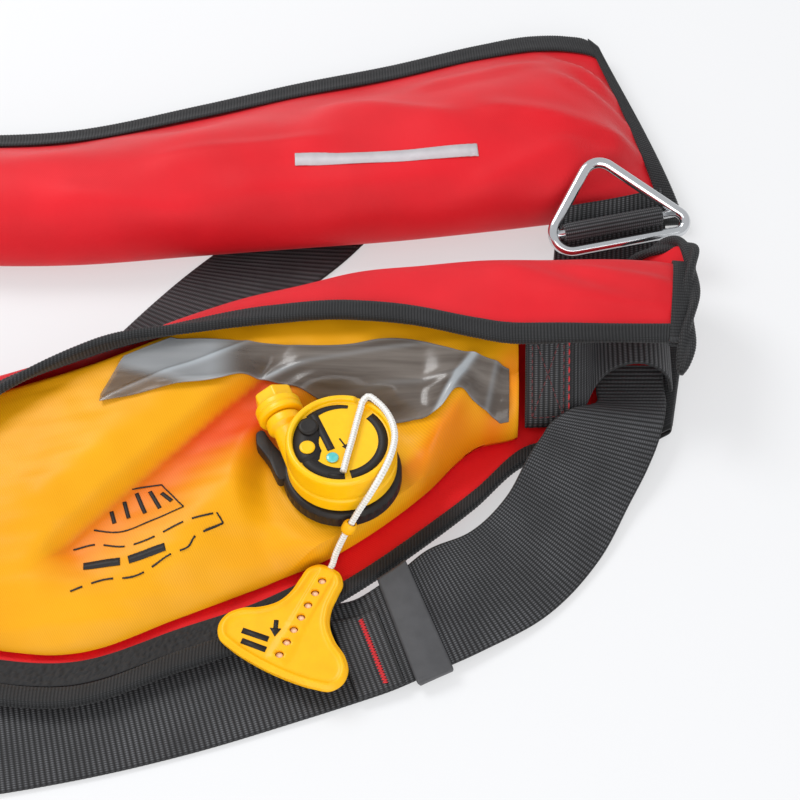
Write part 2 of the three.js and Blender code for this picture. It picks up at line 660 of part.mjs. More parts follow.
const BELT_LOOP = [
  [58, -7, 7.8, 90, 43, 50],
  [70, -6.6, 8.0, 90, 43, 50],
  [79, -5.4, 9.0, 90, 43, 49.5],
  [85.5, 1, 12.4, 90, 36, 46],
  [90, 7.5, 18.0, 90, 24, 42],
  [96, 12, 24.5, 90, 13, 38],
  [105, 14.5, 28.0, 90, 8, 35],
  [114.5, 15, 27.5, 90, 8, 34],
  [121.5, 14.5, 23.0, 90, 8, 34],
  [126, 14, 15.5, 90, 8, 34],
  [127.3, 13.5, 8.6, 90, 8, 34],
];
const BACK_STRAP = [
  [-164, 14, 1.0, -40, 0, 34],
  [-146, 40, 1.0, -40, 0, 34],
  [-132, 59, 1.0, -34, 0, 38],
  [-120, 74.5, 1.0, -24, 0, 46],
  [-107, 90, 1.0, -13, 0, 57],
  [-92, 106, 1.0, -4, 0, 65],
  [-74, 124, 1.0, 2, 0, 66],
];
const RING_STRAP = [
  [74, 77, 2.0, 84, 38, 44],
  [104, 83, 2.0, 88, 38, 44],
  [132, 90, 2.0, 93, 38, 44],
];
const strapKnots = (rows) => rows.reduce((list, row, i) => {
  const before = rows[i - 1] ?? row;
  list.push((list[i - 1] ?? 0) + Math.hypot(row[0] - before[0], row[1] - before[1], row[2] - before[2]));
  return list;
}, []);
// Edge, direction across and facing of a strap at one distance along its edge.
function strapFrame(rows, distance) {
  const knots = strapKnots(rows);
  const spot = (d) => {
    const [x, y, z, turn, rise, width] = smoothRow(knots, rows, Math.min(Math.max(d, 0), knots.at(-1)));
    const flat = width * Math.cos(radians(rise));
    return {
      edge: point(x, y, Math.max(z, BELT_HALF + 0.1)),
      across: point(
        flat * Math.cos(radians(turn)),
        flat * Math.sin(radians(turn)),
        width * Math.sin(radians(rise)),
      ),
    };
  };
  const [at, before, after] = [spot(distance), spot(distance - 1), spot(distance + 1)];
  const middle = (s) => s.edge.clone().addScaledVector(s.across, 0.5);
  const along = middle(after).sub(middle(before)).normalize();
  const facing = at.across.clone().cross(along).normalize();
  return { ...at, along, facing, upper: facing.z < 0 ? -1 : 1 };
}
function strapRing(frame, low, high, from = 0, to = 1) {
  const corner = (t, h) => frame.edge.clone().addScaledVector(frame.across, t)
    .addScaledVector(frame.facing, h);
  return [corner(from, high), corner(to, high), corner(to, low), corner(from, low)];
}
function strap(rows, steps) {
  const length = strapKnots(rows).at(-1);
  const rings = [];
  for (let i = 0; i <= steps; i += 1) {
    rings.push(strapRing(strapFrame(rows, (i / steps) * length), -BELT_HALF, BELT_HALF));
  }
  return skin(rings);
}
// A layer that lies on a strap's upper face between two distances.
function overlay(rows, start, end, steps, low, high, from, to) {
  const rings = [];
  for (let i = 0; i <= steps; i += 1) {
    const frame = strapFrame(rows, mix(start, end, i / steps));
    rings.push(strapRing(frame, low * frame.upper, high * frame.upper, from, to));
  }
  return skin(rings);
}
const belt = strap(BELT, 76);
const beltLoop = strap(BELT_LOOP, 22);
const backStrap = strap(BACK_STRAP, 10);
const ringStrap = strap(RING_STRAP, 6);
const beltKnots = strapKnots(BELT);
const PATCH = { low: BELT_HALF + 0.45, high: BELT_HALF + 2.1 };
const anchorPatch = overlay(BELT_LOOP, 0.5, 21, 4, PATCH.low, PATCH.high, 0.03, 0.97);
const foldStart = beltKnots[11] - 6.5;
const foldEnd = beltKnots[12] - 0.5;
const beltFold = overlay(BELT, foldStart, foldEnd, 3, PATCH.low, PATCH.high, 0.0, 0.8);

// Keeper: a flat band round the belt.
const KEEPER = { at: beltKnots[10] - 3, width: 16, gap: 1.15, wall: 1.5 };
function keeperBand() {
  const frames = [-0.5, 0, 0.5].map((k) => strapFrame(BELT, KEEPER.at + k * KEEPER.width));
  const loop = (grow) => {
    const side = grow / BELT_WIDTH;
    const high = BELT_HALF + grow;
    return [
      [-side, high * 0.4], [0.01 - side, high], [0.99 + side, high], [1 + side, high * 0.4],
      [1 + side, -high * 0.4], [0.99 + side, -high], [0.01 - side, -high], [-side, -high * 0.4],
    ];
  };
  const [inside, outside] = [loop(KEEPER.gap), loop(KEEPER.gap + KEEPER.wall)];
  const spot = (frame, [t, h]) => frame.edge.clone().addScaledVector(frame.across, t)
    .addScaledVector(frame.facing, h);
  return skin(inside.map((_, i) => [
    ...frames.map((frame) => spot(frame, inside[i])),
    ...frames.map((frame) => spot(frame, outside[i])).reverse(),
  ]), true);
}
const beltKeeper = keeperBand();

// Lifting ring: a wire triangle with round corners and a cross bar held in a webbing sleeve.
const RING = {
  left: point(66.5, 84.9, 22),
  right: point(147.5, 102.5, 24.5),
  top: point(94.3, 129.7, 47),
  corner: [9, 5, 9],
  bar: 9.5,
};
const ringAlong = RING.right.clone().sub(RING.left).normalize();
const ringFace = ringAlong.clone().cross(RING.top.clone().sub(RING.left)).normalize();
const ringUp = ringFace.clone().cross(ringAlong).normalize();
const ringFlat = (p) => new THREE.Vector2(
  p.clone().sub(RING.left).dot(ringAlong),
  p.clone().sub(RING.left).dot(ringUp),
);
const ringSpot = (u, v, w) => RING.left.clone().addScaledVector(ringAlong, u)
  .addScaledVector(ringUp, v).addScaledVector(ringFace, w);
const corners = [RING.left, RING.right, RING.top].map(ringFlat);
const ringLine = corners.flatMap((c, i) => {
  const before = corners[(i + 2) % 3].clone().sub(c).normalize();
  const after = corners[(i + 1) % 3].clone().sub(c).normalize();
  const half = Math.acos(before.dot(after)) / 2;
  const middle = before.clone().add(after).normalize().multiplyScalar(RING.corner[i] / Math.sin(half)).add(c);
  const start = before.clone().multiplyScalar(RING.corner[i] / Math.tan(half)).add(c).sub(middle);
  const turn = Math.PI - 2 * half;
  return Array.from({ length: 7 }, (_, k) =>
    start.clone().rotateAround(new THREE.Vector2(), (k / 6) * turn).add(middle));
});
const ringRings = ringLine.map((p, i) => {
  const before = ringLine[(i + ringLine.length - 1) % ringLine.length];
  const after = ringLine[(i + 1) % ringLine.length];
  const way = after.clone().sub(before).normalize();
  return Array.from({ length: 8 }, (_, k) => {
    const a = (k / 8) * 2 * Math.PI;
    const side = (RING_WIRE / 2) * Math.cos(a);
    return ringSpot(p.x - way.y * side, p.y + way.x * side, (RING_WIRE / 2) * Math.sin(a));
  });
});
const legAt = (from, to) => mix(from.x, to.x, (RING.bar - from.y) / (to.y - from.y));
const barFrom = legAt(corners[0], corners[2]) + 2.3;
const barTo = legAt(corners[1], corners[2]);
const BAR_RADIUS = 2.1;
const liftingRing = joinSolids([
  skin(ringRings, true),
  rod(ringSpot(barFrom, RING.bar, 0), ringSpot(barTo, RING.bar, 0), BAR_RADIUS, 10),
]);

// Sleeve of webbing round the cross bar, sewn to the strap below it.
const SLEEVE = { width: 49, inner: 2.6, wall: 1.9 };
const sleeveMiddle = (barFrom + barTo) / 2 - 1.6;
const sleeveShape = circle(SLEEVE.inner + SLEEVE.wall, 16);
sleeveShape.holes.push(new THREE.Path(circle(SLEEVE.inner, 12).getPoints()));
const sleeveBasis = new THREE.Matrix4().makeBasis(ringUp, ringFace, ringAlong)
  .setPosition(ringSpot(sleeveMiddle - SLEEVE.width / 2, RING.bar, 0));
const sleeveTube = new THREE.ExtrudeGeometry(sleeveShape, {
  depth: SLEEVE.width,
  bevelEnabled: false,
}).applyMatrix4(sleeveBasis);
const stem = skin([-0.5, 0, 0.5].map((k) => {
  const middle = ringSpot(sleeveMiddle + k * SLEEVE.width, RING.bar, 0);
  const frame = strapFrame(RING_STRAP, middle.x - RING_STRAP[0][0]);
  const up = frame.facing.clone().multiplyScalar(frame.upper);
  const height = middle.clone().sub(frame.edge).dot(up);
  const [upper, lower] = [-SLEEVE.inner - 0.8, BELT_HALF + 0.3 - height];
  const side = frame.across.clone().normalize();
  const corner = (t, h) => middle.clone().addScaledVector(side, t).addScaledVector(up, h);
  return [corner(-2, upper), corner(2, upper), corner(3.2, lower), corner(-3.2, lower)];
}));
const ringSleeve = joinSolids([sleeveTube, stem]);

const jacket = new THREE.Group();
jacket.name = "life_jacket";
function add(name, geometry, material) {
  const plain = geometry.getIndex() ? geometry.toNonIndexed() : geometry.clone();
  const shape = new THREE.BufferGeometry();
  shape.setAttribute("position", plain.getAttribute("position"));
  shape.translate(SHIFT_X, SHIFT_Y, 0);
  const mesh = new THREE.Mesh(outward(shape), material);
  mesh.geometry.computeVertexNormals();
  mesh.name = name;
  jacket.add(mesh);
}

add("cover", coverGeometry, RED);
add("front_binding", frontBinding, BLACK);
add("back_binding", backBinding, BLACK);
add("far_end_binding", farEndBinding, BLACK);
add("near_end_binding", nearEndBinding, BLACK);
add("loop_tape", loopTape, BLACK);
add("bladder", bladderGeometry, YELLOW);
add("window", windowGeometry, CLEAR);
add("inflator_base", inflatorBase, DARK);
add("inflator_body", inflatorBody, CAP_YELLOW);
add("inlet_cap", inletCap, CAP_YELLOW);
add("arming_button", armingButton, DARK);
add("status_window", statusWindow, TEAL);
add("pull_cord", pullCord, WHITE);
add("cord_bead", cordBead, TAB_YELLOW);
add("pull_tab", pullTab, TAB_YELLOW);
add("belt", belt, BLACK);
add("belt_loop", beltLoop, BLACK);
add("anchor_patch", anchorPatch, BLACK);
add("belt_fold", beltFold, BLACK);
add("belt_keeper", beltKeeper, DARK);
add("back_strap", backStrap, BLACK);
add("ring_strap", ringStrap, BLACK);
add("ring_sleeve", ringSleeve, BLACK);
add("lifting_ring", liftingRing, STEEL);

export default jacket;
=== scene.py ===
# %% [markdown]
# # An inflatable harness life jacket, lying open
# The jacket is a long cloth cover folded round a flat bladder. It lies on a table with its near
# lobe opened, so the yellow bladder, its clear window and the inflator show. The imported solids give
# every place and size. This lesson dresses them: each piece is worked out again as a fine surface,
# from the same section tables as the solids, and then gets a finish.

import bmesh
import bpy
import numpy as np
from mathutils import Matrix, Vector


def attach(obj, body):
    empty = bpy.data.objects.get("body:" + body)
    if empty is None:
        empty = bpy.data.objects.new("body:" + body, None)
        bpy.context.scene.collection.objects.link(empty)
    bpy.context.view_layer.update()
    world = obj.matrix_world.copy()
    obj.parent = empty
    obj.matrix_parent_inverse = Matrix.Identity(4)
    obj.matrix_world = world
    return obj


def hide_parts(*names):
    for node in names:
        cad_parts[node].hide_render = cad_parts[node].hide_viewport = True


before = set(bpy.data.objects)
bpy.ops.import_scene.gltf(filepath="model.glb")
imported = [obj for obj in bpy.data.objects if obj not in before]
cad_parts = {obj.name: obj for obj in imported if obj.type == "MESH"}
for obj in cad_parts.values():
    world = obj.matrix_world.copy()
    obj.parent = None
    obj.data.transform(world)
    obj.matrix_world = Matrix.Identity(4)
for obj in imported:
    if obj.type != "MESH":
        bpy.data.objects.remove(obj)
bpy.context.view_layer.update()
scene = bpy.context.scene
MM = 0.001
SHIFT = np.array([147.2, -28.1, 0.0])  # from the section tables' origin to the frame's, in mm

# %% [markdown]
# ## The camera
# The photograph looks down at the jacket from the near side, with a long lens. A camera is a place,
# a direction and a lens, so three numbers are enough: the height of the view above the table in
# degrees, the distance and the angle of view. Rotating the camera with a track quaternion keeps it
# level without any empty or constraint.

# %% Camera
VIEW_HEIGHT = np.radians(53.0)
VIEW_DISTANCE = 0.95
VIEW_ANGLE = np.radians(22.0)
SENSOR = 36.0  # mm wide
VIEW_TARGET = Vector((SHIFT[0] * MM, SHIFT[1] * MM, 0.020))
camera = bpy.data.objects.new("camera", bpy.data.cameras.new("camera"))
scene.collection.objects.link(camera)
backward = Vector((0.0, -np.cos(VIEW_HEIGHT), np.sin(VIEW_HEIGHT)))
camera.location = VIEW_TARGET + backward * VIEW_DISTANCE
camera.rotation_mode = "QUATERNION"
camera.rotation_quaternion = (-backward).to_track_quat("-Z", "Y")
camera.data.sensor_width = SENSOR
camera.data.lens = SENSOR / 2 / np.tan(VIEW_ANGLE / 2)
camera.data.clip_start = 0.05
scene.camera = camera
print("lens", round(camera.data.lens, 1), "mm")

# %% [markdown]
# ## From arrays to meshes
# Every new piece is a grid of points: a section is worked out at many stations, and neighbouring
# stations are joined by four-sided faces. One function turns such a grid into a mesh. It can join
# the section to its own start, join the last station to the first, and close the two ends with a
# ladder of faces between the two halves of the section. It also turns the faces outwards, by the
# sign of the enclosed volume, and writes a UV map in metres so that a weave can follow the cloth.


# %% Grid to mesh
def unit(vectors):
    """Vectors divided by their own lengths."""
    return vectors / np.linalg.norm(vectors, axis=-1, keepdims=True)


def there_and_back(first, second):
    """A closed section: out along one line of points and back along another."""
    return np.concatenate([first, second[:, ::-1]], axis=1)


def grid_faces(rows, columns, loop_rows, loop_columns, ladder):
    """Corner indices of all faces of a grid of points, and the same corners as row and column."""
    row, column = np.meshgrid(
        np.arange(rows if loop_rows else rows - 1),
        np.arange(columns if loop_columns else columns - 1),
        indexing="ij",
    )
    row, column = row.ravel()[:, None], column.ravel()[:, None]
    steps = row + [0, 1, 1, 0], column + [0, 0, 1, 1]
    corners = (steps[0] % rows) * columns + steps[1] % columns
    if ladder:
        j = np.arange(columns // 2 - 1)
        rung = np.stack([j, j + 1, columns - 2 - j, columns - 1 - j], axis=1)
        last = rung[:, ::-1]
        corners = np.vstack([corners, rung, last + (rows - 1) * columns])
        steps = (
            np.vstack([steps[0], 0 * rung, 0 * last + rows - 1]),
            np.vstack([steps[1], rung, last]),
        )
    return corners, steps


def enclosed(points, corners):
    """Six times the volume inside the faces: the sum of corner triple products."""
    a, b, c, d = (points[corners[:, k]] for k in range(4))
    return np.sum(a * np.cross(b, c)) + np.sum(a * np.cross(c, d))


def put_mesh(name, points, corners, uv=None, **attributes):
    """A mesh object at the origin from points in mm, face corners and a UV pair for each corner."""
    uv = np.zeros((*corners.shape, 2)) if uv is None else uv
    mesh = bpy.data.meshes.new(name)
    mesh.vertices.add(len(points))
    mesh.vertices.foreach_set("co", ((points + SHIFT) * MM).astype(np.float32).ravel())
    mesh.loops.add(corners.size)
    mesh.loops.foreach_set("vertex_index", corners.astype(np.int32).ravel())
    mesh.polygons.add(len(corners))
    mesh.polygons.foreach_set("loop_start", np.arange(0, corners.size, 4, dtype=np.int32))
    mesh.update(calc_edges=True)
    mesh.validate()
    mesh.polygons.foreach_set("use_smooth", np.ones(len(mesh.polygons), dtype=bool))
    if len(mesh.polygons) == len(corners):
        mesh.uv_layers.new(name="weave").data.foreach_set("uv", uv.astype(np.float32).ravel())
    for key, values in attributes.items():
        layer = mesh.attributes.new(key, "FLOAT", "POINT")
        layer.data.foreach_set("value", np.asarray(values, np.float32).ravel())
    piece = bpy.data.objects.new(name, mesh)
    scene.collection.objects.link(piece)
    return piece


def surface(name, grid, loop_rows=False, loop_columns=True, ladder=True, **attributes):
    """A closed piece from a grid of points (rows, columns, 3) in mm.

    The UV map is the distance along the rows and along the columns, in metres. An attribute has a
    value for each point, or one for each row or column.
    """
    rows, columns = grid.shape[:2]
    ladder = ladder and not loop_rows
    corners, (row, column) = grid_faces(rows, columns, loop_rows, loop_columns, ladder)
    points = grid.reshape(-1, 3)
    run = np.linalg.norm(np.diff(grid, axis=0, append=grid[:1]), axis=2).mean(axis=1)
    across = np.linalg.norm(np.diff(grid, axis=1, append=grid[:, :1]), axis=2).mean(axis=0)
    run, across = (np.concatenate([[0], np.cumsum(steps)]) for steps in (run, across))
    uv = np.stack([run[row], across[column]], axis=-1) * MM
    if enclosed(points, corners) < 0:
        corners, uv = corners[:, ::-1], uv[:, ::-1]
    values = {key: np.broadcast_to(value, (rows, columns)) for key, value in attributes.items()}
    return put_mesh(name, points, corners, uv, **values)


# %% [markdown]
# ## Curves through short tables
# Cloth has few driving sizes: a width here, a height there. A table with one row for each section
# holds them, and a smooth curve through the rows gives every place in between. Hermite pieces with
# the slopes of the neighbouring rows pass through each row without overshooting much, which is why
# they are better here than one long polynomial.


# %% Table curves
def smooth_rows(knots, rows, at):
    """Cubic Hermite curve through table rows: slopes are distance-weighted means of both chords."""
    knots, rows, at = (np.asarray(x, float) for x in (knots, rows, at))
    step = np.diff(knots)[:, None]
    chord = np.diff(rows, axis=0) / step
    middle = (chord[:-1] * step[1:] + chord[1:] * step[:-1]) / (step[1:] + step[:-1])
    slope = np.vstack([chord[:1], middle, chord[-1:]])
    i = np.clip(np.searchsorted(knots, at, side="left") - 1, 0, len(knots) - 2)
    h = step[i]
    t = (at - knots[i])[:, None] / h
    return (
        (2 * t**3 - 3 * t**2 + 1) * rows[i]
        + (t**3 - 2 * t**2 + t) * h * slope[i]
        + (3 * t**2 - 2 * t**3) * rows[i + 1]
        + (t**3 - t**2) * h * slope[i + 1]
    )


def spline_weights(count, t):
    """Weights of a clamped cubic spline: each degree blends the two neighbours of the one below."""
    spans = count - 3
    knot = np.clip(np.arange(count + 4) - 3, 0, spans)
    u = np.minimum(np.asarray(t, float) * spans, spans - 1e-9)[:, None]
    weights = ((u >= knot[:-1]) & (u < knot[1:])).astype(float)
    for degree in (1, 2, 3):
        left = knot[degree:-1] - knot[: -degree - 1]
        right = knot[degree + 1 :] - knot[1:-degree]
        a = (u - knot[: -degree - 1]) / np.maximum(left, 1) * (left > 0)
        b = (knot[degree + 1 :] - u) / np.maximum(right, 1) * (right > 0)
        weights = a * weights[:, :-1] + b * weights[:, 1:]
    return weights


def path_length(points):
    """Distance along a row of points, from 0."""
    return np.concatenate([[0], np.cumsum(np.linalg.norm(np.diff(points, axis=0), axis=1))])


def mix(a, b, t):
    """a at t 0, b at t 1."""
    return a + (b - a) * t


def ease(x, low, high):
    """Smooth step from 0 below low to 1 above high."""
    t = np.clip((x - low) / (high - low), 0, 1)
    return t * t * (3 - 2 * t)


def ripple(*axes, seed, waves=7, short=30.0, long=110.0):
    """Soft random undulation between about -1 and 1: a sum of sine waves in seeded directions."""
    random = np.random.default_rng(seed)
    total = 0.0
    for _ in range(waves):
        way = random.normal(size=len(axes))
        way *= 2 * np.pi / random.uniform(short, long) / np.linalg.norm(way)
        total = total + np.sin(sum(w * a for w, a in zip(way, axes)) + random.uniform(0, 6.28))
    return total / np.sqrt(waves)


# %% [markdown]
# ## Finishes
# A finish starts from what the real stuff is. One function turns hex colours to linear light, one
# adds a node with its settings and links, and one starts a material. Patterns are waves in the UV
# map, which is in metres, so that a thread spacing in millimetres sets the scale of a weave, or noise
# in the frame's own coordinates, with its grain in millimetres.

# %% Material helpers
MIX_A, MIX_B, MIX_COLOUR = 6, 7, 2  # the colour sockets of a Mix node


def linear(code):
    """An sRGB hex colour as linear red, green, blue and alpha."""
    value = np.array([int(code[k : k + 2], 16) for k in (1, 3, 5)]) / 255
    return (*np.where(value <= 0.04045, value / 12.92, ((value + 0.055) / 1.055) ** 2.4), 1.0)


def plug(tree, target, inputs):
    """Fills a node's inputs, each with a value or with another node's output."""
    for key, value in inputs.items():
        if isinstance(value, bpy.types.NodeSocket):
            tree.links.new(value, target.inputs[key])
        else:
            target.inputs[key].default_value = value


def node(tree, kind, inputs, output=0, **settings):
    """Adds one shader node with its settings and links, and gives one of its outputs."""
    made = tree.nodes.new("ShaderNode" + kind)
    for key, value in settings.items():
        setattr(made, key, value)
    plug(tree, made, inputs)
    return made.outputs[output]


def start_finish(name, code, roughness, **sockets):
    """A material with its tree and its shader; other sockets are given by name with _ for space."""
    material = bpy.data.materials.new(name)
    material.use_nodes = True
    tree = material.node_tree
    shader = tree.nodes["Principled BSDF"]
    named = {key.replace("_", " "): value for key, value in sockets.items()}
    plug(tree, shader, {"Base Color": linear(code), "Roughness": roughness, **named})
    return material, tree, shader


def wave(tree, axis_u, axis_v):
    """Sine of a sum of UV distances; each axis is a pitch in mm, or 0 to leave that axis out."""
    uv = node(tree, "UVMap", {}, uv_map="weave")
    pitch = [2 * np.pi / (p * MM) if p else 0.0 for p in (axis_u, axis_v)]
    turn = node(tree, "VectorMath", {0: uv, 1: (*pitch, 0.0)}, "Value", operation="DOT_PRODUCT")
    return node(tree, "Math", {0: turn}, operation="SINE")


def cloudy(tree, size_mm, detail=3.0):
    """Noise in the frame's own coordinates with patches of about the given size."""
    place = node(tree, "TexCoord", {}, "Object")
    return node(tree, "TexNoise", {"Vector": place, "Scale": 1 / (size_mm * MM), "Detail": detail}, "Fac")


# %% [markdown]
# ## Cover cloth
# The cover is polyester cloth with a coating on its back. The woven side has a soft sheen and a very
# fine plain weave. Its threads are about 0.4 mm apart, too fine to show at this size, so they are
# drawn 0.9 mm apart. The coated inside, seen below the bladder, is a cleaner and smoother red.

# %% Coated polyester
COVER_RED, LINING_RED, COVER_SHADE = "#dc1322", "#e60d16", "#ce101d"
COVER_PATCH, COVER_DIMPLE, COVER_THREAD = 45, 14, 0.9  # mm


def coated_polyester():
    """Woven polyester: dull, faint weave, a few darker patches; the lining side is brighter."""
    material, tree, shader = start_finish(
        "coated_polyester", COVER_RED, 0.55,
        Specular_IOR_Level=0.28, Sheen_Weight=0.09, Sheen_Roughness=0.4,
    )
    patches = node(tree, "MapRange", {0: cloudy(tree, COVER_PATCH), "From Min": 0.35, "From Max": 0.7})
    shades = {0: patches, MIX_A: linear(COVER_SHADE), MIX_B: linear(COVER_RED)}
    woven = node(tree, "Mix", shades, MIX_COLOUR, data_type="RGBA")
    lining = node(tree, "Attribute", {}, "Fac", attribute_name="lining")
    sides = {0: lining, MIX_A: woven, MIX_B: linear(LINING_RED)}
    colour = node(tree, "Mix", sides, MIX_COLOUR, data_type="RGBA")
    dimples = cloudy(tree, COVER_DIMPLE, 2.0)
    soft = node(tree, "Bump", {"Height": dimples, "Distance": 0.5 * MM, "Strength": 0.35})
    warp, weft = wave(tree, COVER_THREAD, 0), wave(tree, 0, COVER_THREAD)
    threads = node(tree, "Math", {0: warp, 1: weft}, operation="MULTIPLY")
    weave = node(tree, "Bump", {"Height": threads, "Distance": 0.08 * MM, "Strength": 0.5, "Normal": soft})
    plug(tree, shader, {"Base Color": colour, "Normal": weave})
    return material


# %% [markdown]
# ## Black webbing
# Belt, straps and binding tape are woven polyester: thick threads lie across as ribs, and the warp
# crosses them as rows of small beads. The ribs are real geometry. Each point stores whether it is on
# a crest, and the finish paints a highlight on the crests, stronger in some patches than in others,
# and breaks it into beads with a wave across the tape.

# %% Woven webbing
# Size of the patches in which the painted highlight on the crests is stronger or weaker.
WEB_HIGHLIGHT_PATCH = 22  # mm


def woven_webbing(name, bead_mm, pale, dark):
    """Woven polyester tape: black between the ribs, with a painted highlight, beaded, on their crests."""
    material, tree, shader = start_finish(name, dark, 0.62, Specular_IOR_Level=0.3, Sheen_Weight=0.1)
    beads = node(tree, "MapRange", {0: wave(tree, 0, bead_mm), "From Min": -1.0, "To Min": 0.1})
    crest = node(tree, "Attribute", {}, "Fac", attribute_name="crest")
    # Painted highlight on the crests: pale is its colour; it is broken into beads and varies in patches.
    height = node(tree, "Math", {0: crest, 1: beads}, operation="MULTIPLY")
    spread = {"From Min": 0.3, "From Max": 0.75, "To Min": 0.55}
    highlight_patches = node(tree, "MapRange", {0: cloudy(tree, WEB_HIGHLIGHT_PATCH), **spread})
    lit = node(tree, "Math", {0: height, 1: highlight_patches}, operation="MULTIPLY")
    threads = {0: lit, MIX_A: linear(dark), MIX_B: linear(pale)}
    colour = node(tree, "Mix", threads, MIX_COLOUR, data_type="RGBA")
    weave = node(tree, "Bump", {"Height": height, "Distance": 0.22 * MM, "Strength": 0.7})
    plug(tree, shader, {"Base Color": colour, "Normal": weave})
    return material


# %% [markdown]
# ## Bladder cloth
# The bladder is nylon with a welded plastic coating: smooth, a little glossy, with the twill of the
# cloth showing through as fine slanting lines. Light bounces between its walls where it folds, so
# its creases glow a deep orange. That glow is painted into the colour: points near a furrow store
# how strong the painted glow is.

# %% Coated nylon
BLADDER_YELLOW, BLADDER_AMBER, BLADDER_PAINTED_GLOW, TWILL_BROWN = "#efac0f", "#e7a00a", "#d93c05", "#c87804"
BLADDER_PATCH, BLADDER_DIMPLE, TWILL_ALONG, TWILL_ACROSS = 60, 9, 1.0, 1.5  # mm


def coated_nylon():
    """Welded nylon: amber yellow, satin, slanting twill lines and a painted red-orange glow in the furrows.
    """
    material, tree, shader = start_finish("coated_nylon", BLADDER_YELLOW, 0.45, Specular_IOR_Level=0.22)
    patches = node(tree, "MapRange", {0: cloudy(tree, BLADDER_PATCH), "From Min": 0.35, "From Max": 0.7})
    twill = wave(tree, TWILL_ALONG, TWILL_ACROSS)
    layers = [
        (patches, BLADDER_YELLOW),
        (node(tree, "Attribute", {}, "Fac", attribute_name="blush"), BLADDER_PAINTED_GLOW),
        (node(tree, "MapRange", {0: twill, "From Min": -1.0, "To Max": 0.3}), TWILL_BROWN),
    ]
    colour = linear(BLADDER_AMBER)
    for share, code in layers:
        colour = node(
            tree, "Mix", {0: share, MIX_A: colour, MIX_B: linear(code)}, MIX_COLOUR, data_type="RGBA"
        )
    dimples = cloudy(tree, BLADDER_DIMPLE, 2.0)
    soft = node(tree, "Bump", {"Height": dimples, "Distance": 0.5 * MM, "Strength": 0.25})
    weave = node(tree, "Bump", {"Height": twill, "Distance": 0.03 * MM, "Strength": 0.4, "Normal": soft})
    plug(tree, shader, {"Base Color": colour, "Normal": weave})
    return material


# %% [markdown]
# ## Clear film
# The window is soft clear film: glossy, slightly brown, drawn out into streaks, with a painted highlight
# where it is creased. It lies close on the bladder, so a share of see-through is enough: light needn't be
# bent.

# %% Film
FILM_BASE, FILM_DARK, FILM_LIGHT, FILM_HIGHLIGHT = "#6d655e", "#584f48", "#7b736c", "#b4bbc0"
FILM_STREAK = np.array([250 / 3, 100 / 17, 50 / 3])  # mm along, across and up
FILM_TURN = 0.2


def clear_film():
    """Soft clear film: see-through, smoky brown, with painted highlights where it is creased, and fine
    streaks.
    """
    material, tree, shader = start_finish(
        "clear_film", FILM_BASE, 0.22, Specular_IOR_Level=0.4, Coat_Weight=0.1, Coat_Roughness=0.1
    )
    place = node(tree, "TexCoord", {}, "Object")
    stretch = {"Vector": place, "Rotation": (0, 0, FILM_TURN), "Scale": 1 / (FILM_STREAK * MM)}
    drawn = node(tree, "Mapping", stretch)
    noise = node(tree, "TexNoise", {"Vector": drawn, "Scale": 1.0, "Detail": 4.0}, "Fac")
    streaks = node(tree, "MapRange", {0: noise, "From Min": 0.4, "From Max": 0.7})
    browns = {0: streaks, MIX_A: linear(FILM_DARK), MIX_B: linear(FILM_LIGHT)}
    brown = node(tree, "Mix", browns, MIX_COLOUR, data_type="RGBA")
    # The pale attribute is a painted highlight on creases and edges.
    pale = node(tree, "Attribute", {}, "Fac", attribute_name="pale")
    tones = {0: pale, MIX_A: brown, MIX_B: linear(FILM_HIGHLIGHT)}
    colour = node(tree, "Mix", tones, MIX_COLOUR, data_type="RGBA")
    smoke = node(tree, "Attribute", {}, "Fac", attribute_name="smoke")
    solid = node(tree, "MapRange", {0: smoke, "To Min": 0.38, "To Max": 0.86})
    buckled = node(tree, "Bump", {"Height": noise, "Distance": 0.35 * MM, "Strength": 0.35})
    plug(tree, shader, {"Base Color": colour, "Alpha": solid, "Normal": buckled})
    return material


# %% [markdown]
# ## Plastics
# The inflator, the tab and the keeper are moulded plastics. A moulded skin is never quite even: it has
# a faint orange peel of about a millimetre, and its colour is mottled where it was handled.

# %% Moulded plastic
MOTTLE, ORANGE_PEEL = 6, 1.1  # mm


def moulded_plastic(name, code, roughness, scuffed=None, **sockets):
    """Injection-moulded plastic: one colour with faint mottling and an orange-peel skin."""
    material, tree, shader = start_finish(name, code, roughness, **sockets)
    mottle = node(tree, "MapRange", {0: cloudy(tree, MOTTLE), "From Min": 0.35, "From Max": 0.75})
    tones = {0: mottle, MIX_A: linear(code), MIX_B: linear(scuffed or code)}
    colour = node(tree, "Mix", tones, MIX_COLOUR, data_type="RGBA")
    peel = cloudy(tree, ORANGE_PEEL, 1.0)
    skin = node(tree, "Bump", {"Height": peel, "Distance": 0.06 * MM, "Strength": 0.5})
    plug(tree, shader, {"Base Color": colour, "Normal": skin})
    return material


# %% [markdown]
# ## Thread, cord and steel
# Sewing thread is dull, with lighter and darker turns. The cord is braided nylon, whose strands cross
# as slanting beads, with painted shade between them. The ring is polished stainless steel: its drawing marks
# only blur what it mirrors.

# %% Thread, cord and steel
THREAD_TURN, STRAND_ALONG, STRAND_ROUND, DRAWING_MARK = 1.6, 2.6, 4.4, 2.5  # mm


def sewing_thread(name, code, shade):
    """Twisted polyester thread: dull with lighter and darker turns."""
    material, tree, shader = start_finish(name, code, 0.7, Sheen_Weight=0.2)
    turns = {0: cloudy(tree, THREAD_TURN), MIX_A: linear(shade), MIX_B: linear(code)}
    plug(tree, shader, {"Base Color": node(tree, "Mix", turns, MIX_COLOUR, data_type="RGBA")})
    return material


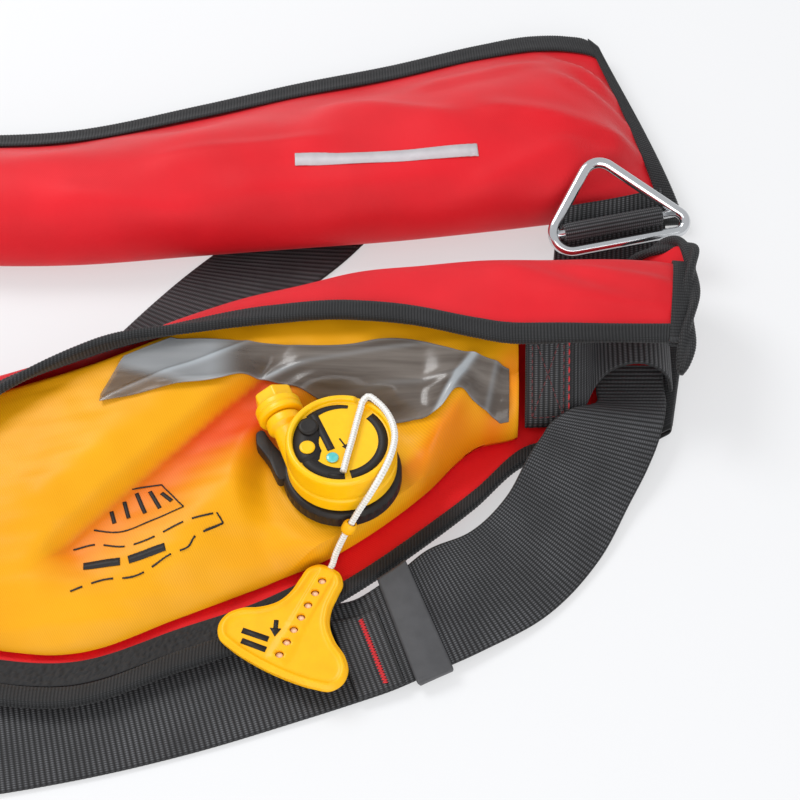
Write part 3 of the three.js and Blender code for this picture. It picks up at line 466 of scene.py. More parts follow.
def braided_cord():
    """Braided nylon cord: off-white, crossing strands that show as slanting beads, with painted shade
    between them.
    """
    material, tree, shader = start_finish("braided_cord", "#f4f2ec", 0.6, Sheen_Weight=0.2)
    first, second = (wave(tree, STRAND_ALONG, turn) for turn in (STRAND_ROUND, -STRAND_ROUND))
    strands = node(tree, "Math", {0: first, 1: second}, operation="MULTIPLY")
    height = node(tree, "MapRange", {0: strands, "From Min": -1.0})
    # Painted shade: the colour darkens between the strands, where the braid sinks.
    beads = {0: height, MIX_A: linear("#c9c5bc"), MIX_B: linear("#fbfaf6")}
    colour = node(tree, "Mix", beads, MIX_COLOUR, data_type="RGBA")
    relief = node(tree, "Bump", {"Height": height, "Distance": 0.25 * MM, "Strength": 0.8})
    plug(tree, shader, {"Base Color": colour, "Normal": relief})
    return material


def polished_steel():
    """Polished stainless steel: bright, with drawing marks that blur reflections a little."""
    material, tree, shader = start_finish("polished_steel", "#d2d4d6", 0.14, Metallic=1.0)
    spread = {"From Min": 0.3, "From Max": 0.8, "To Min": 0.1, "To Max": 0.24}
    marks = node(tree, "MapRange", {0: cloudy(tree, DRAWING_MARK), **spread})
    plug(tree, shader, {"Roughness": marks})
    return material


# %% [markdown]
# Every finish is made once, here, and shared by the pieces that have it. One function then dresses a
# piece: it gives it the finish and the body that it rides on, and hides the solids that it stands for.

# %% All finishes
COVER_CLOTH = coated_polyester()
# The lighter colour of each webbing is the painted highlight on its rib crests.
WEBBING = woven_webbing("belt_webbing", 1.0, "#6e6f72", "#0e0e0f")
TAPE_WEAVE = woven_webbing("binding_tape", 0.9, "#414244", "#0b0b0c")
LOOPS = woven_webbing("loop_pile", 0.6, "#3a3a3c", "#0d0d0e")
BLADDER_CLOTH = coated_nylon()
FILM_CLEAR = clear_film()
CAP_PLASTIC = moulded_plastic("yellow_acetal", "#f9c206", 0.34, "#f5b904", Specular_IOR_Level=0.4)
TAB_PLASTIC = moulded_plastic("yellow_vinyl", "#f7b606", 0.42, "#f4ae04", Specular_IOR_Level=0.32)
CORE_PLASTIC = moulded_plastic("pale_core", "#f6dcc0", 0.5)
BLACK_PLASTIC = moulded_plastic("black_nylon", "#1d1a19", 0.5, "#282421", Specular_IOR_Level=0.3)
FACE_BLACK = moulded_plastic("printed_black", "#23201f", 0.55, Specular_IOR_Level=0.3)
PALE_PRINT = moulded_plastic("pale_print", "#c4bfc2", 0.5, "#b9b3b7")
KEEPER_PLASTIC = moulded_plastic("grey_nylon", "#454547", 0.55, "#3d3d3f")
TEAL_PLASTIC = moulded_plastic("teal_indicator", "#35b3b5", 0.2, "#7fd6d4", Coat_Weight=0.6)
RED_THREAD = sewing_thread("red_thread", "#e8222c", "#a8141c")
DARK_RED_THREAD = sewing_thread("dark_red_thread", "#7c2a30", "#3b1d20")
CORD_BRAID = braided_cord()
STEEL = polished_steel()
print("finishes", len(bpy.data.materials))


def dress(piece, material, slot, *stands_for, body="jacket"):
    """Gives a piece its finish and the body that it rides on, and hides the solids it stands for; slot is
    not used.
    """
    piece.data.materials.append(material)
    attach(piece, body)
    if stands_for:
        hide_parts(*stands_for)
    print(piece.name, len(piece.data.polygons), "faces")
    return piece


# %% [markdown]
# ## The cover
# The real cover is one long cloth panel, sewn to a C shape and folded lengthwise along its inner
# edge. So it is a profile along a path: at each distance along the C a short row gives the fold and
# the hem in plan, the height of the roll, and how far the front panel reaches back over it. On the
# near lobe that reach shrinks and the panel stands open as a flap.

# %% Section table
WALL, FIT_GAP, TAPE = 1.5, 0.75, 0.9
SECTIONS = np.array([
    # inX inY outX outY crown lip lipZ hemZ base low top
    [139.5, 127, 106.5, 240, 14, 1, 11.5, 4.2, 2.6, 0.7, 9],
    [129, 126, 100.5, 246.5, 17, 1, 11.5, 4.2, 2.6, 0.7, 10],
    [112, 124.5, 89, 249.5, 30, 1, 11.5, 4.2, 2.6, 0.7, 21],
    [88, 122, 71, 249.5, 41.5, 1, 11.5, 4.2, 2.6, 0.7, 31],
    [50, 116, 42, 242.5, 46, 1, 11.5, 4.2, 2.6, 0.7, 37],
    [0, 109, -5, 227, 46, 1, 11.5, 4.2, 2.6, 0.7, 37],
    [-50, 104, -54, 213.5, 45, 1, 11.5, 4.2, 2.6, 0.7, 36],
    [-100, 99, -104, 197.5, 45, 1, 11.5, 4.2, 2.6, 0.7, 36],
    [-164, 93, -170, 179, 44, 1, 11.5, 4.2, 2.6, 0.7, 35],
    [-225, 94, -235, 176, 42, 1, 11.5, 4, 2, 0.7, 33],
    [-296, 101, -311, 185, 40, 1, 10.5, 2.6, 0, 0.7, 31],
    [-321, 91, -371, 163, 39, 1, 10, 2.5, 0, 0.7, 30],
    [-339, 71, -415, 115, 38, 1, 10, 2.5, 0, 0.7, 29],
    [-347, 40, -435, 40, 38, 1, 11.5, 4.2, 2.2, 0.7, 29],
    [-339, 9, -415, -35, 38, 1, 11.5, 4.2, 2.6, 0.7, 29],
    [-321, -11, -371, -83, 39, 1, 11.5, 4.2, 2.6, 0.7, 30],
    [-296, -21, -311, -112, 41, 0.88, 20, 4.6, 2.6, 0.7, 31],
    [-240, -15, -238, -133, 43, 0.52, 38, 6.5, 2.6, 0.8, 32],
    [-187, 0, -186, -148, 42, 0.15, 48, 8, 2.6, 0.84, 36],
    [-141, 14, -140, -152, 39, 0.03, 50, 8.6, 2.6, 0.86, 41],
    [-94, 36, -94, -135, 42, 0.095, 50, 8.6, 2.6, 0.855, 42.5],
    [-60, 47, -62, -122, 46, 0.135, 50, 8.6, 2.6, 0.845, 43],
    [-22, 58, -22, -98, 49, 0.205, 50, 9, 2.6, 0.85, 43],
    [13, 65, 12, -71, 50, 0.32, 50, 9, 2.6, 0.81, 43],
    [36, 68, 34, -50, 50, 0.44, 49, 7, 2.6, 0.75, 41],
    [58, 70, 57, -26, 50, 0.59, 48, 6, 2.6, 0.86, 39],
    [84, 70, 84, -20, 50, 0.62, 48, 5, 2.6, 0.7, 30],
    [113.5, 69, 111, -13, 49, 0.66, 47, 4.2, 2.6, 0.7, 30],
    [138.5, 67, 125.5, -5, 48, 0.72, 46, 4.2, 2.6, 0.7, 30],
])
FRONT_REACH = np.array([1.0, 0.86, 0.54, 0.14])  # shares of the lip's reach, from the lip to the fold
BACK_REACH = np.array([-0.05, -0.035, 0.2, 0.66, 1.0])  # shares of the width, from the fold to the hem
SHOULDER, BROW, CREST, FLANK = 1.05, 1.06, 1.02, 0.62  # heights of the roll as shares of its crown
SECTION_KNOTS = path_length((SECTIONS[:, 0:2] + SECTIONS[:, 2:4]) / 2)
LENGTH = SECTION_KNOTS[-1]


class Stations:
    """Sections at many distances along the cover, one array for each column of the table."""

    def __init__(self, distance):
        """Looks up the table and works out the width and the direction from fold to hem."""
        row = smooth_rows(SECTION_KNOTS, SECTIONS, distance)
        self.distance = np.asarray(distance, float)
        self.fold, self.hem = row[:, 0:2], row[:, 2:4]
        self.crown, self.lip, self.lip_z, self.hem_z, base, self.low, self.top = row[:, 4:].T
        self.base = np.maximum(base, 0)
        self.width = np.linalg.norm(self.hem - self.fold, axis=1)
        self.way = unit(self.hem - self.fold)

    def place(self, n, z):
        """Points n mm from the fold towards the hem at height z; one row for each station."""
        plan = self.fold[:, None] + self.way[:, None] * n[..., None]
        return np.concatenate([plan, z[..., None]], axis=2)

    def panel(self, t):
        """Section line from lip (t 0) round the fold to hem (t 1), and its outward normals."""
        front = (self.lip * self.width)[:, None] * FRONT_REACH
        n = np.concatenate([front, self.width[:, None] * BACK_REACH], axis=1)
        shoulder = mix(self.lip_z, SHOULDER * self.crown, mix(0.45, 0, ease(self.lip, 0.75, 1)))
        roll = [self.lip_z, shoulder, BROW * self.crown, CREST * self.crown, FLANK * self.crown]
        z = np.stack([*roll, self.base, self.base, self.base, self.hem_z], axis=1)
        weights = spline_weights(n.shape[1], t)
        line = np.stack([n @ weights.T, z @ weights.T], axis=2)
        step = np.gradient(line, axis=1)
        normal = np.stack([step[..., 1], -step[..., 0]], axis=2)
        return line, unit(normal)


# %% [markdown]
# Cloth that has been packed folded is never flat. Long soft waves of about a millimetre break up the
# roll, stronger puckers gather at the ends, where the tape holds the cloth, and a few creases run along
# lines in plan. They fade out at the taped edges, and the inner face carries the same waves, so that
# the wall keeps its thickness.

# %% Cover surface
CREASES = np.array([
    # x0 y0 x1 y1 height left right
    [82, 226, 104, 205, 2.4, 3, 8], [53, 160, 114, 155, 2.4, 9, 4], [92, 194, 116, 178, 2.0, 3, 7],
    [108, 146, 78, 118, 2.2, 4, 9], [-155, 108, -111, 102, 1.4, 6, 10], [-72, 112, 10, 122, 1.2, 9, 6],
    [-49, 140, -108, 130, 1.5, 9, 5], [44, 121, 80, 142, 1.6, 6, 10], [20, 196, 66, 214, 1.2, 9, 5],
    [-30, 172, 16, 160, 1.3, 6, 12], [93, 52, 126, 43, 1.5, 4, 8], [74, 37, 122, 30, 1.2, 7, 4],
    [52, 52, 84, 40, 1.1, 5, 9], [-350, 118, -378, 140, 1.4, 6, 10], [-352, 20, -396, 8, 1.3, 9, 6],
    [-262, 120, -226, 148, 1.3, 7, 12], [-300, -34, -284, -78, 1.4, 6, 10],
])


FOLD_FADE = 14  # mm past the ends of a crease


def fold_height(x, y, folds):
    """Height of soft ridges: a bell across each line, and another bell past its ends."""
    total = 0.0
    for x0, y0, x1, y1, height, left, right in folds:
        dx, dy = x1 - x0, y1 - y0
        size = np.hypot(dx, dy)
        across = ((y - y0) * dx - (x - x0) * dy) / size
        place = ((x - x0) * dx + (y - y0) * dy) / size**2
        beyond = np.maximum(np.maximum(-place, place - 1), 0) * size
        soft = np.where(across > 0, left, right)
        total = total + height * np.exp(-((across / soft) ** 2) - (beyond / FOLD_FADE) ** 2)
    return total


COLUMNS, CLOTH_STEP, END_RUN, EDGE_CROWDING = 86, 3.2, 30, 0.25
PUCKER, GATHER, CREASE = 0.8, 1.2, 1.7  # strengths of the three kinds of folds
ends = np.linspace(0, END_RUN, 14)
along = np.concatenate([ends, np.arange(END_RUN + 3, LENGTH - END_RUN - 2, CLOTH_STEP), LENGTH - ends[::-1]])
crowded, even = (1 - np.cos(np.linspace(0, np.pi, COLUMNS))) / 2, np.linspace(0, 1, COLUMNS)
around = crowded * EDGE_CROWDING + even * (1 - EDGE_CROWDING)
stations = Stations(along)
line, normal = stations.panel(around)
spots = stations.place(line[..., 0], line[..., 1])
fade = ease(around, 0.0, 0.12) * (1 - ease(around, 0.42, 0.6))
end = 1 - ease(np.minimum(along, LENGTH - along), 10, 75)
puckers = ripple(spots[..., 0], spots[..., 1], spots[..., 2], seed=4, waves=9, short=30, long=110)
gathers = ripple(spots[..., 1], spots[..., 2], seed=9, waves=6, short=20, long=46)
creases = fold_height(spots[..., 0], spots[..., 1], CREASES)
free = fade * ease(np.minimum(along, LENGTH - along), 0, 16)[:, None]
dent = (PUCKER * puckers + GATHER * gathers * end[:, None] + CREASE * creases) * free
outer = line + normal * dent[..., None]
inner = line + normal * (dent - WALL)[..., None]
ring = there_and_back(outer, inner)
grid = stations.place(ring[..., 0], ring[..., 1])
cover = surface("cover_cloth", grid, lining=np.arange(2 * COLUMNS) >= COLUMNS)
cover_sheet, cover_skin = grid[:, :COLUMNS], grid[:, 6:36]  # the skin is the part that carries print
dress(cover, COVER_CLOTH, "cover_cloth", "cover")
run_mm = np.linalg.norm(np.diff(spots, axis=1), axis=2).sum(axis=1)
print("across the panel", run_mm.min().round(), "to", run_mm.max().round(), "mm, length", round(LENGTH))

# %% [markdown]
# ## Bindings
# The cut edges of the cover are bound with a folded tape. Its section is a narrow U: a leg on each
# face and a round nose past the edge. The tape's ribs run across it, so the section's depth swells
# and shrinks as a cosine of the distance along the edge, once every 1.55 mm.

# %% Long bindings
RIB_TAPE, RIB_BELT = 1.55, 2.4
END_MARGIN = 7.3
TAPE_OPEN, TAPE_HEM, TAPE_LIP = 7.2, 10.5, 13.0  # leg widths: where the cover is open, and closed
LEG = np.array([1.0, 0.7, 0.35, 0.0])  # places along a leg
RIB_SWELL = 0.28


def edge_points(stations, from_hem, distances):
    """Points and normals at given distances from an edge, measured along each section line."""
    line, normal = stations.panel(np.linspace(0, 1, 241))
    near = slice(None, -81, -1) if from_hem else slice(80)
    line, normal = line[:, near], normal[:, near]
    run = np.linalg.norm(np.diff(line, axis=1), axis=2)
    run = np.concatenate([np.zeros((len(run), 1)), np.cumsum(run, axis=1)], axis=1)
    i = np.clip((run[:, None, :] < distances[:, :, None]).sum(axis=2), 1, run.shape[1] - 1)
    row = np.arange(len(run))[:, None]
    t = ((distances - run[row, i - 1]) / (run[row, i] - run[row, i - 1]))[..., None]
    return mix(line[row, i - 1], line[row, i], t), mix(normal[row, i - 1], normal[row, i], t)


def folded_section(legs, facing, edge, out, depth):
    """U line round an edge: down the outside leg, round the nose and up the inside leg."""
    turn = np.linspace(np.pi / 2, -np.pi / 2, 7)[1:-1, None]
    nose = edge[:, None] - facing[:, -1:] * WALL / 2
    nose = nose + out[:, None] * depth * np.cos(turn) + facing[:, -1:] * (WALL / 2 + depth) * np.sin(turn)
    outside = np.concatenate([legs + facing * depth, nose], axis=1)
    return there_and_back(outside, legs - facing * (WALL + depth))


def ribs(distance, pitch):
    """1 on a rib's crest and 0 between two ribs."""
    return 0.5 + 0.5 * np.cos(2 * np.pi * distance / pitch)


def binding(name, from_hem, seed):
    """Tape along the lip or the hem, between the two end tapes."""
    distance = np.arange(END_MARGIN, LENGTH - END_MARGIN, RIB_TAPE / 4)
    stations = Stations(distance)
    wide = mix(TAPE_OPEN, TAPE_HEM if from_hem else TAPE_LIP, ease(stations.lip, 0.75, 1))
    wide = wide + 0.3 * ripple(distance, seed=seed, short=60, long=200)
    legs, facing = edge_points(stations, from_hem, wide[:, None] * LEG)
    out = unit(legs[:, -1] - legs[:, -2])
    crest = ribs(distance, RIB_TAPE)
    depth = (FIT_GAP + TAPE + RIB_SWELL * (crest - 0.5))[:, None, None]
    skin = folded_section(legs, facing, legs[:, -1], out, depth)
    core = folded_section(legs, facing, legs[:, -1], out, FIT_GAP)
    ring = there_and_back(skin, core)
    return surface(name, stations.place(ring[..., 0], ring[..., 1]), crest=crest[:, None])


dress(binding("front_tape", False, 21), TAPE_WEAVE, "black_webbing", "front_binding")
dress(binding("back_tape", True, 22), TAPE_WEAVE, "black_webbing", "back_binding")

# %% [markdown]
# The two short ends are bound in the same way, but the tape runs along the section line and reaches
# past the last station. Its nose points along the cover, from the second station to the end.

# %% End bindings
END_LEG = np.array([7.6, 5.1, 2.5, 0.0])  # distances of the leg's points from the end
END_DEPTH, END_PAST = 0.15, 2.2  # it lies over the long tapes and reaches a little past the edge


def end_binding(name, first):
    """Tape round the cover's first or last section."""
    stations = Stations(END_LEG if first else LENGTH - END_LEG)
    line, normal = stations.panel(np.linspace(0, 1, 1400))
    spots = stations.place(line[..., 0], line[..., 1]).transpose(1, 0, 2)
    lifted = line + normal
    facing = stations.place(lifted[..., 0], lifted[..., 1]).transpose(1, 0, 2) - spots
    run = path_length(spots[:, -1])
    count = int(run[-1] / RIB_TAPE * 4)
    even = np.searchsorted(run, np.linspace(0, run[-1] - 0.01, count))
    spots, facing, run = spots[even], facing[even], run[even]
    past = END_PAST * unit(spots[[0, -1]] - spots[[4, -5]])
    spots = np.concatenate([spots[:1] + past[:1], spots, spots[-1:] + past[1:]])
    facing, run = (np.concatenate([row[:1], row, row[-1:]]) for row in (facing, run))
    out = unit(spots[:, -1] - spots[:, -2])
    crest = ribs(run, RIB_TAPE)
    depth = (FIT_GAP + TAPE + END_DEPTH + RIB_SWELL * (crest - 0.5))[:, None, None]
    skin = folded_section(spots, facing, spots[:, -1], out, depth)
    core = folded_section(spots, facing, spots[:, -1], out, FIT_GAP)
    return surface(name, there_and_back(skin, core), crest=crest[:, None])


dress(end_binding("far_end_tape", True), TAPE_WEAVE, "black_webbing", "far_end_binding")
dress(end_binding("near_end_tape", False), TAPE_WEAVE, "black_webbing", "near_end_binding")

# %% [markdown]
# Inside the near hem runs a fastening tape covered with tiny loops. Singly they are far too small to
# model, so the tape's top is a grid roughened by seeded noise of a few tenths of a millimetre.

# %% Loop tape
LOOPS_FROM, LOOPS_TO, LOOPS_LEFT, LOOPS_RIGHT = 7.6, 19.5, -215, -38  # across from the hem, along in x
LOOPS_STEP, LOOPS_ACROSS, LOOPS_HIGH, LOOPS_LOW = 0.9, 13, 1.5, 0.4
distance = np.arange(0, LENGTH, LOOPS_STEP)
hem_x, hem_y = Stations(distance).hem.T
stations = Stations(distance[(hem_y < 0) & (hem_x > LOOPS_LEFT) & (hem_x < LOOPS_RIGHT)])
steps = np.linspace(LOOPS_FROM, LOOPS_TO, LOOPS_ACROSS)
legs, facing = edge_points(stations, True, np.repeat(steps[None], len(stations.distance), axis=0))
fuzz = np.random.default_rng(31).uniform(-0.5, 0.35, legs.shape[:2])
fuzz *= np.sin(np.linspace(0, np.pi, LOOPS_ACROSS)) ** 0.3
pile = legs - facing * (WALL + LOOPS_HIGH + fuzz)[..., None]
ring = there_and_back(pile, legs - facing * (WALL + LOOPS_LOW))
# The crest value sets the painted highlight on the tips of the pile; the backing gets none.
crest = np.concatenate([np.clip(0.5 + fuzz, 0, 1), np.zeros_like(fuzz)], axis=1)
loops = surface("loop_pile_tape", stations.place(ring[..., 0], ring[..., 1]), crest=crest)
dress(loops, LOOPS, "black_webbing", "loop_tape")

# %% [markdown]
# ## The bladder
# The bladder is two layers of coated nylon welded round the edge, lying folded in the cover. Its top
# falls from a crest near the fold to a low edge near the hem, as a power of the distance between
# them. Ridges and furrows are added in plan: each is a line with a soft bell-shaped cross section
# that may be steeper on one side. Under the inflator the top eases to a flat seat.

# %% Bladder surface
INFLATOR = np.array([-25.5, -49.2, 27.0])
SEAT_HEIGHT, SEAT_INNER, SEAT_OUTER = 25.8, 34, 50
NEAR_LOBE, OPEN_FROM, OPEN_TO = 60, -215, -150  # the open part: below this y, and from here on in x
RIM_HEIGHT, LINING_GAP, SIDE_GAP, TOP_STEPS = 6.3, 0.8, 3.85, 84
FOLDS = np.array([
    # x0 y0 x1 y1 height left right
    [-143, -81, -66, -3, -9, 4, 20],  # the long furrow
    [-158, -62, -102, -12, 4, 18, 12],
    [3, -66, 26, -14, 7, 13, 4],
    [40, -26, 50, 6, -5, 6, 8],  # the gutter at the near end
    [-96, -86, -58, -40, 4, 14, 14],
    [-52, -78, 2, -70, -3, 8, 10],
])


def bladder_span(s):
    """Distances of the crest and of the low edge from the fold."""
    inset = mix(0.1, 0.03, 1 - ease(s.lip, 0.2, 0.8))
    return inset * s.width + 7.0, s.low * s.width


def opened(x, y):
    """1 on the open near lobe, easing to 0 towards the collar."""
    return ease(x, OPEN_FROM, OPEN_TO) * (y < NEAR_LOBE)


def from_inflator(x, y):
    """Distance in plan from the inflator's axis."""
    return np.hypot(x - INFLATOR[0], y - INFLATOR[1])


def bladder_top(s, u):
    """Top of the bladder from its crest (u 0) to its low edge (u 1): it falls as a power of u."""
    start, stop = bladder_span(s)
    edge = (s.base + WALL + RIM_HEIGHT)[:, None]
    spot = s.place(mix(start[:, None], stop[:, None], u[None]), np.zeros((len(start), len(u))))
    x, y = spot[..., 0], spot[..., 1]
    steep = 2 + 4 * ease(x, 8, 36) * (y < NEAR_LOBE)
    z = edge + (s.top[:, None] - edge) * np.maximum(1 - u[None] ** steep, 0) ** 0.62
    calm = 1 - ease(u, 0.86, 1)[None]
    z = np.maximum(z + fold_height(x, y, FOLDS) * opened(x, y) * calm, edge)
    seated = 1 - ease(from_inflator(x, y), SEAT_INNER, SEAT_OUTER)
    spot[..., 2] = np.where(u[None] < 0.999, mix(z, SEAT_HEIGHT, seated), z)
    return spot


def row_heights(line, n):
    """Height of each row's line at the distances n, by straight pieces."""
    i = np.clip((line[:, None, :, 0] < n[:, :, None]).sum(axis=2), 1, line.shape[1] - 1)
    row = np.arange(len(line))[:, None]
    low, high = line[row, i - 1], line[row, i]
    return mix(low[..., 1], high[..., 1], (n - low[..., 0]) / (high[..., 0] - low[..., 0]))


def bladder_ring(s):
    """Closed section: top from low edge to crest, round side, and underside on the lining."""
    top = bladder_top(s, np.sin(np.linspace(1, 0, TOP_STEPS) * np.pi / 2))
    line, normal = s.panel(np.linspace(0.5, 1, 120))
    lining = (line - normal * WALL)[:, 18:]  # past the fold, where it runs one way only
    start, stop = bladder_span(s)
    turn = np.linspace(0.06, 0.94, 13)[None] * np.pi
    n_side = start[:, None] - (start[:, None] - SIDE_GAP) * np.sin(turn)
    low = row_heights(lining, start[:, None]) + LINING_GAP
    z_side = mix(low, top[:, -1:, 2], (1 + np.cos(turn)) / 2)
    n_under = mix(start[:, None], stop[:, None] - 1.5, np.linspace(0, 1, 27)[None])
    under = s.place(n_under, row_heights(lining, n_under) + LINING_GAP)
    return np.concatenate([top, s.place(n_side, z_side), under], axis=1)


BLADDER_STEP, COARSE_STEPS, DETAIL_FROM = 1.7, 5, -240  # every fifth section where it is hidden
FAR_LOBE, FAR_END, NEAR_END = 100, 112, 55  # the far lobe lies above this y; both ends in x
distance = np.arange(0, LENGTH, BLADDER_STEP)
every = Stations(distance)
hem_x, hem_y = every.hem.T
kept = np.where(hem_y > FAR_LOBE, every.fold[:, 0] < FAR_END, hem_x < NEAR_END)
detailed = (hem_y < NEAR_LOBE) & (hem_x > DETAIL_FROM)
kept &= detailed | (np.arange(len(distance)) % COARSE_STEPS == 0)
grid = bladder_ring(Stations(distance[kept]))
bladder_skin = grid[:, :TOP_STEPS]

# %% [markdown]
# Close up, the coating has small creases of a few tenths of a millimetre. They stay clear of the weld
# and of the inflator. The painted glow, bounce light and shade painted into the colour, is strongest in
# the furrow, and it is also painted beside the inflator and in the gutter.

# %% Bladder creases and painted glow
FINE_HEIGHT, FINE_TOP = 0.35, 0.4
# Spots of painted glow beside the inflator.
GLOWS = np.array([[-66, -20, -54, -28, 0.5, 18, 18], [6, -40, 24, -20, 0.5, 4, 14]])
x, y = grid[..., 0], grid[..., 1]
open_part = opened(x, y)
# Painted glow: bounce light and shade in the furrow and the gutter, painted into the colour.
furrow, gutter = FOLDS[[0]] * [1, 1, 1, 1, 1, 0.4, 0.95], FOLDS[[3]]
furrow_blush = fold_height(x, y, furrow) / furrow[0, 4] * mix(0.6, 1.0, ease(x, -130, -80))
gutter_blush = 0.5 * fold_height(x, y, gutter) / gutter[0, 4]
blush = np.clip((furrow_blush + fold_height(x, y, GLOWS) + gutter_blush) * open_part, 0, 1)
fine = FINE_HEIGHT * ripple(x, y, seed=12, waves=8, short=9, long=40) * open_part
fine[:, [0, *range(TOP_STEPS - 1, grid.shape[1])]] = 0
fine *= ease(from_inflator(x, y), 27, 40)
grid[..., 2] += np.minimum(fine, FINE_TOP) - FINE_TOP * open_part * (fine != 0)
bladder = surface("bladder_cloth", grid, blush=blush)
dress(bladder, BLADDER_CLOTH, "bladder_cloth", "bladder")

# %% [markdown]
# ## The window
# A sheet of clear film is welded to the bladder's top. It follows the bladder a little above it, and
# as film is stiffer than cloth it buckles into sharp ridges. The ridges are narrow lines in plan.
# Points on a ridge store a painted highlight, which makes them pale.

# %% Window film
WINDOW = np.array([
    # x lowY topY
    [-134, -19, -15], [-121, -16.5, 15.5], [-99, -10, 17], [-82, -5, 17], [-66, 0, 15],
    [-51, -5, 14], [-36, -10, 14], [-22, -14, 15], [-9, -18, 18], [5, -20, 18], [18, -19, 14],
    [25, -11, 12], [33, -11, 10], [50, -16, 7],
])
FILM_RIDGES = np.array([
    # x0 y0 x1 y1 height left right
    [-128, -15, -76, 12, 1.2, 1.6, 3.0],
    [16, -22, 34, 10, 1.7, 3.0, 3.0],
    [-96, -7, -60, 0, 0.8, 2.0, 2.0],
    [-56, 2, 2, 14, 0.9, 3.0, 2.0],
    [-30, -8, 12, -3, 0.8, 2.5, 2.5],
    [40, -10, 44, 6, 1.0, 2.0, 2.0],
])
FILM_STEPS, FILM_LIFT, FILM_WALL, FILM_BUCKLE = 60, 1.3, 0.5, 0.22
distance = np.arange(0, LENGTH, 0.8)
edge_x, edge_y, _ = bladder_top(Stations(distance), np.array([1.0]))[:, 0].T
within = (edge_y < 0) & (edge_x > WINDOW[0, 0]) & (edge_x < WINDOW[-1, 0])
top = bladder_top(Stations(distance[within]), np.sin(np.linspace(1, 0, 160) * np.pi / 2))
_, film_low, film_high = smooth_rows(WINDOW[:, 0], WINDOW, edge_x[within]).T
share = np.linspace(0, 1, FILM_STEPS)[None]
film_low = np.maximum(film_low, top[:, 26, 1])[:, None]
film_high = np.minimum(film_high, top[:, -1, 1] - 1)[:, None]
y_film = mix(film_low, film_high, share)
x_film = row_heights(top[..., [1, 0]], y_film)
z_film = row_heights(top[..., [1, 2]], y_film)
ridges = fold_height(x_film, y_film, FILM_RIDGES)
buckles = FILM_BUCKLE * ripple(x_film, y_film, seed=15, waves=9, short=12, long=45)
film_top = z_film + FILM_LIFT + np.maximum(ridges + buckles, -0.4)
film_face, film_back = (np.stack([x_film, y_film, z], axis=2) for z in (film_top, film_top - FILM_WALL))

# %% [markdown]
# Two values are stored on the film's points: a painted highlight that makes it pale, on ridges, along
# its edges and on the silver part at its left end, and how smoky it is, which is little at that end and
# full past the first fold.

# %% Window tones
# Painted highlight: on the ridges, along the edges and on the silver part at the left end.
pale = np.clip(ridges / 1.5, 0, 1) ** 3 * 0.75
edge_highlight = np.exp(-(np.minimum(share, 1 - share) / 0.03) ** 2) * 0.2
silver = ease(y_film + 0.4 * (x_film + 121), -5, 3) * (1 - ease(x_film, -88, -70)) * 0.55
pale = np.clip(pale + edge_highlight + silver, 0, 1)
smoke = np.clip(mix(0.25, 1, ease(x_film, -96, -60)) + silver, 0, 1)
film = there_and_back(film_face, film_back)
window = surface("window_film", film, pale=there_and_back(pale, pale), smoke=there_and_back(smoke, smoke))
dress(window, FILM_CLEAR, "clear_film", "window")

# %% [markdown]
# ## Turned parts
# Moulded round parts are profiles turned about an axis. Real mouldings have no sharp corners, so a
# function first replaces each corner of the profile by a small curve. Points that fall together on
# the axis are welded, so the middle of a cap is closed.


# %% Turned parts
def rounded(points, cut, steps=5, closed=False):
    """A line with soft corners: a quadratic curve from cut mm before each corner to cut mm after."""
    p = np.asarray(points, float)

    def pulled(other):
        """Points moved cut mm towards a neighbour, but never past the middle."""
        far = np.linalg.norm(other - p, axis=1, keepdims=True)
        return p + (other - p) * np.minimum(cut / np.maximum(far, 1e-9), 0.48)

    t = np.linspace(0, 1, steps)[None, :, None]
    first, second = pulled(np.roll(p, 1, axis=0))[:, None], pulled(np.roll(p, -1, axis=0))[:, None]
    curve = (1 - t) ** 2 * first + 2 * t * (1 - t) * p[:, None] + t**2 * second
    if closed:
        return curve.reshape(-1, p.shape[1])
    return np.concatenate([p[:1], curve[1:-1].reshape(-1, p.shape[1]), p[-1:]])


def weld(piece):
    """Merges points that lie on each other, such as those on an axis."""
    whole = bmesh.new()
    whole.from_mesh(piece.data)
    bmesh.ops.remove_doubles(whole, verts=whole.verts, dist=1e-7)
    bmesh.ops.recalc_face_normals(whole, faces=whole.faces)
    whole.to_mesh(piece.data)
    whole.free()
    return piece


def basis(axis):
    """Two directions at right angles to an axis, and the axis as a unit vector."""
    axis = unit(np.asarray(axis, float))
    side = unit(np.cross(axis, [0, 1, 0] if abs(axis[1]) < 0.9 else [1, 0, 0]))
    return side, np.cross(axis, side), axis


def turned(name, profile, sides, at, axis=(0, 0, 1), closed=False, shape=None, **values):
    """A profile of radius and height turned about an axis; shape changes radii with the angle."""
    side, third, axis = basis(axis)
    angle = np.linspace(0, 2 * np.pi, sides, endpoint=False)
    spokes = np.cos(angle)[:, None] * side + np.sin(angle)[:, None] * third
    radius = np.repeat(profile[None, :, 0], sides, axis=0)
    height = np.repeat(profile[None, :, 1], sides, axis=0)
    if shape:
        radius, height = shape(angle[:, None], radius, height)
    grid = np.asarray(at) + spokes[:, None] * radius[..., None] + axis * height[..., None]
    piece = surface(name, grid, loop_rows=True, loop_columns=closed, ladder=False, **values)
    return piece if closed else weld(piece)


# %% [markdown]
# ## The inflator
# The inflator is clamped through the bladder: a black ring with grip slots carries a yellow cap with
# a raised rim and a sunk face. A short pipe leaves its side and ends in a screw cap. The slots are
# a wave in the ring's radius, and the notch for the cord is a dip in the rim's height.

# %% Inflator base and body
FACE_LEVEL, NOTCH_FLOOR = 28.6, 28.65
NOTCH_ANGLE, NOTCH_INNER, NOTCH_OUTER = np.arctan2(-21.4, -8.4), 0.09, 0.14
GRIP_SLOTS, GRIP_DEPTH = 40, 0.8


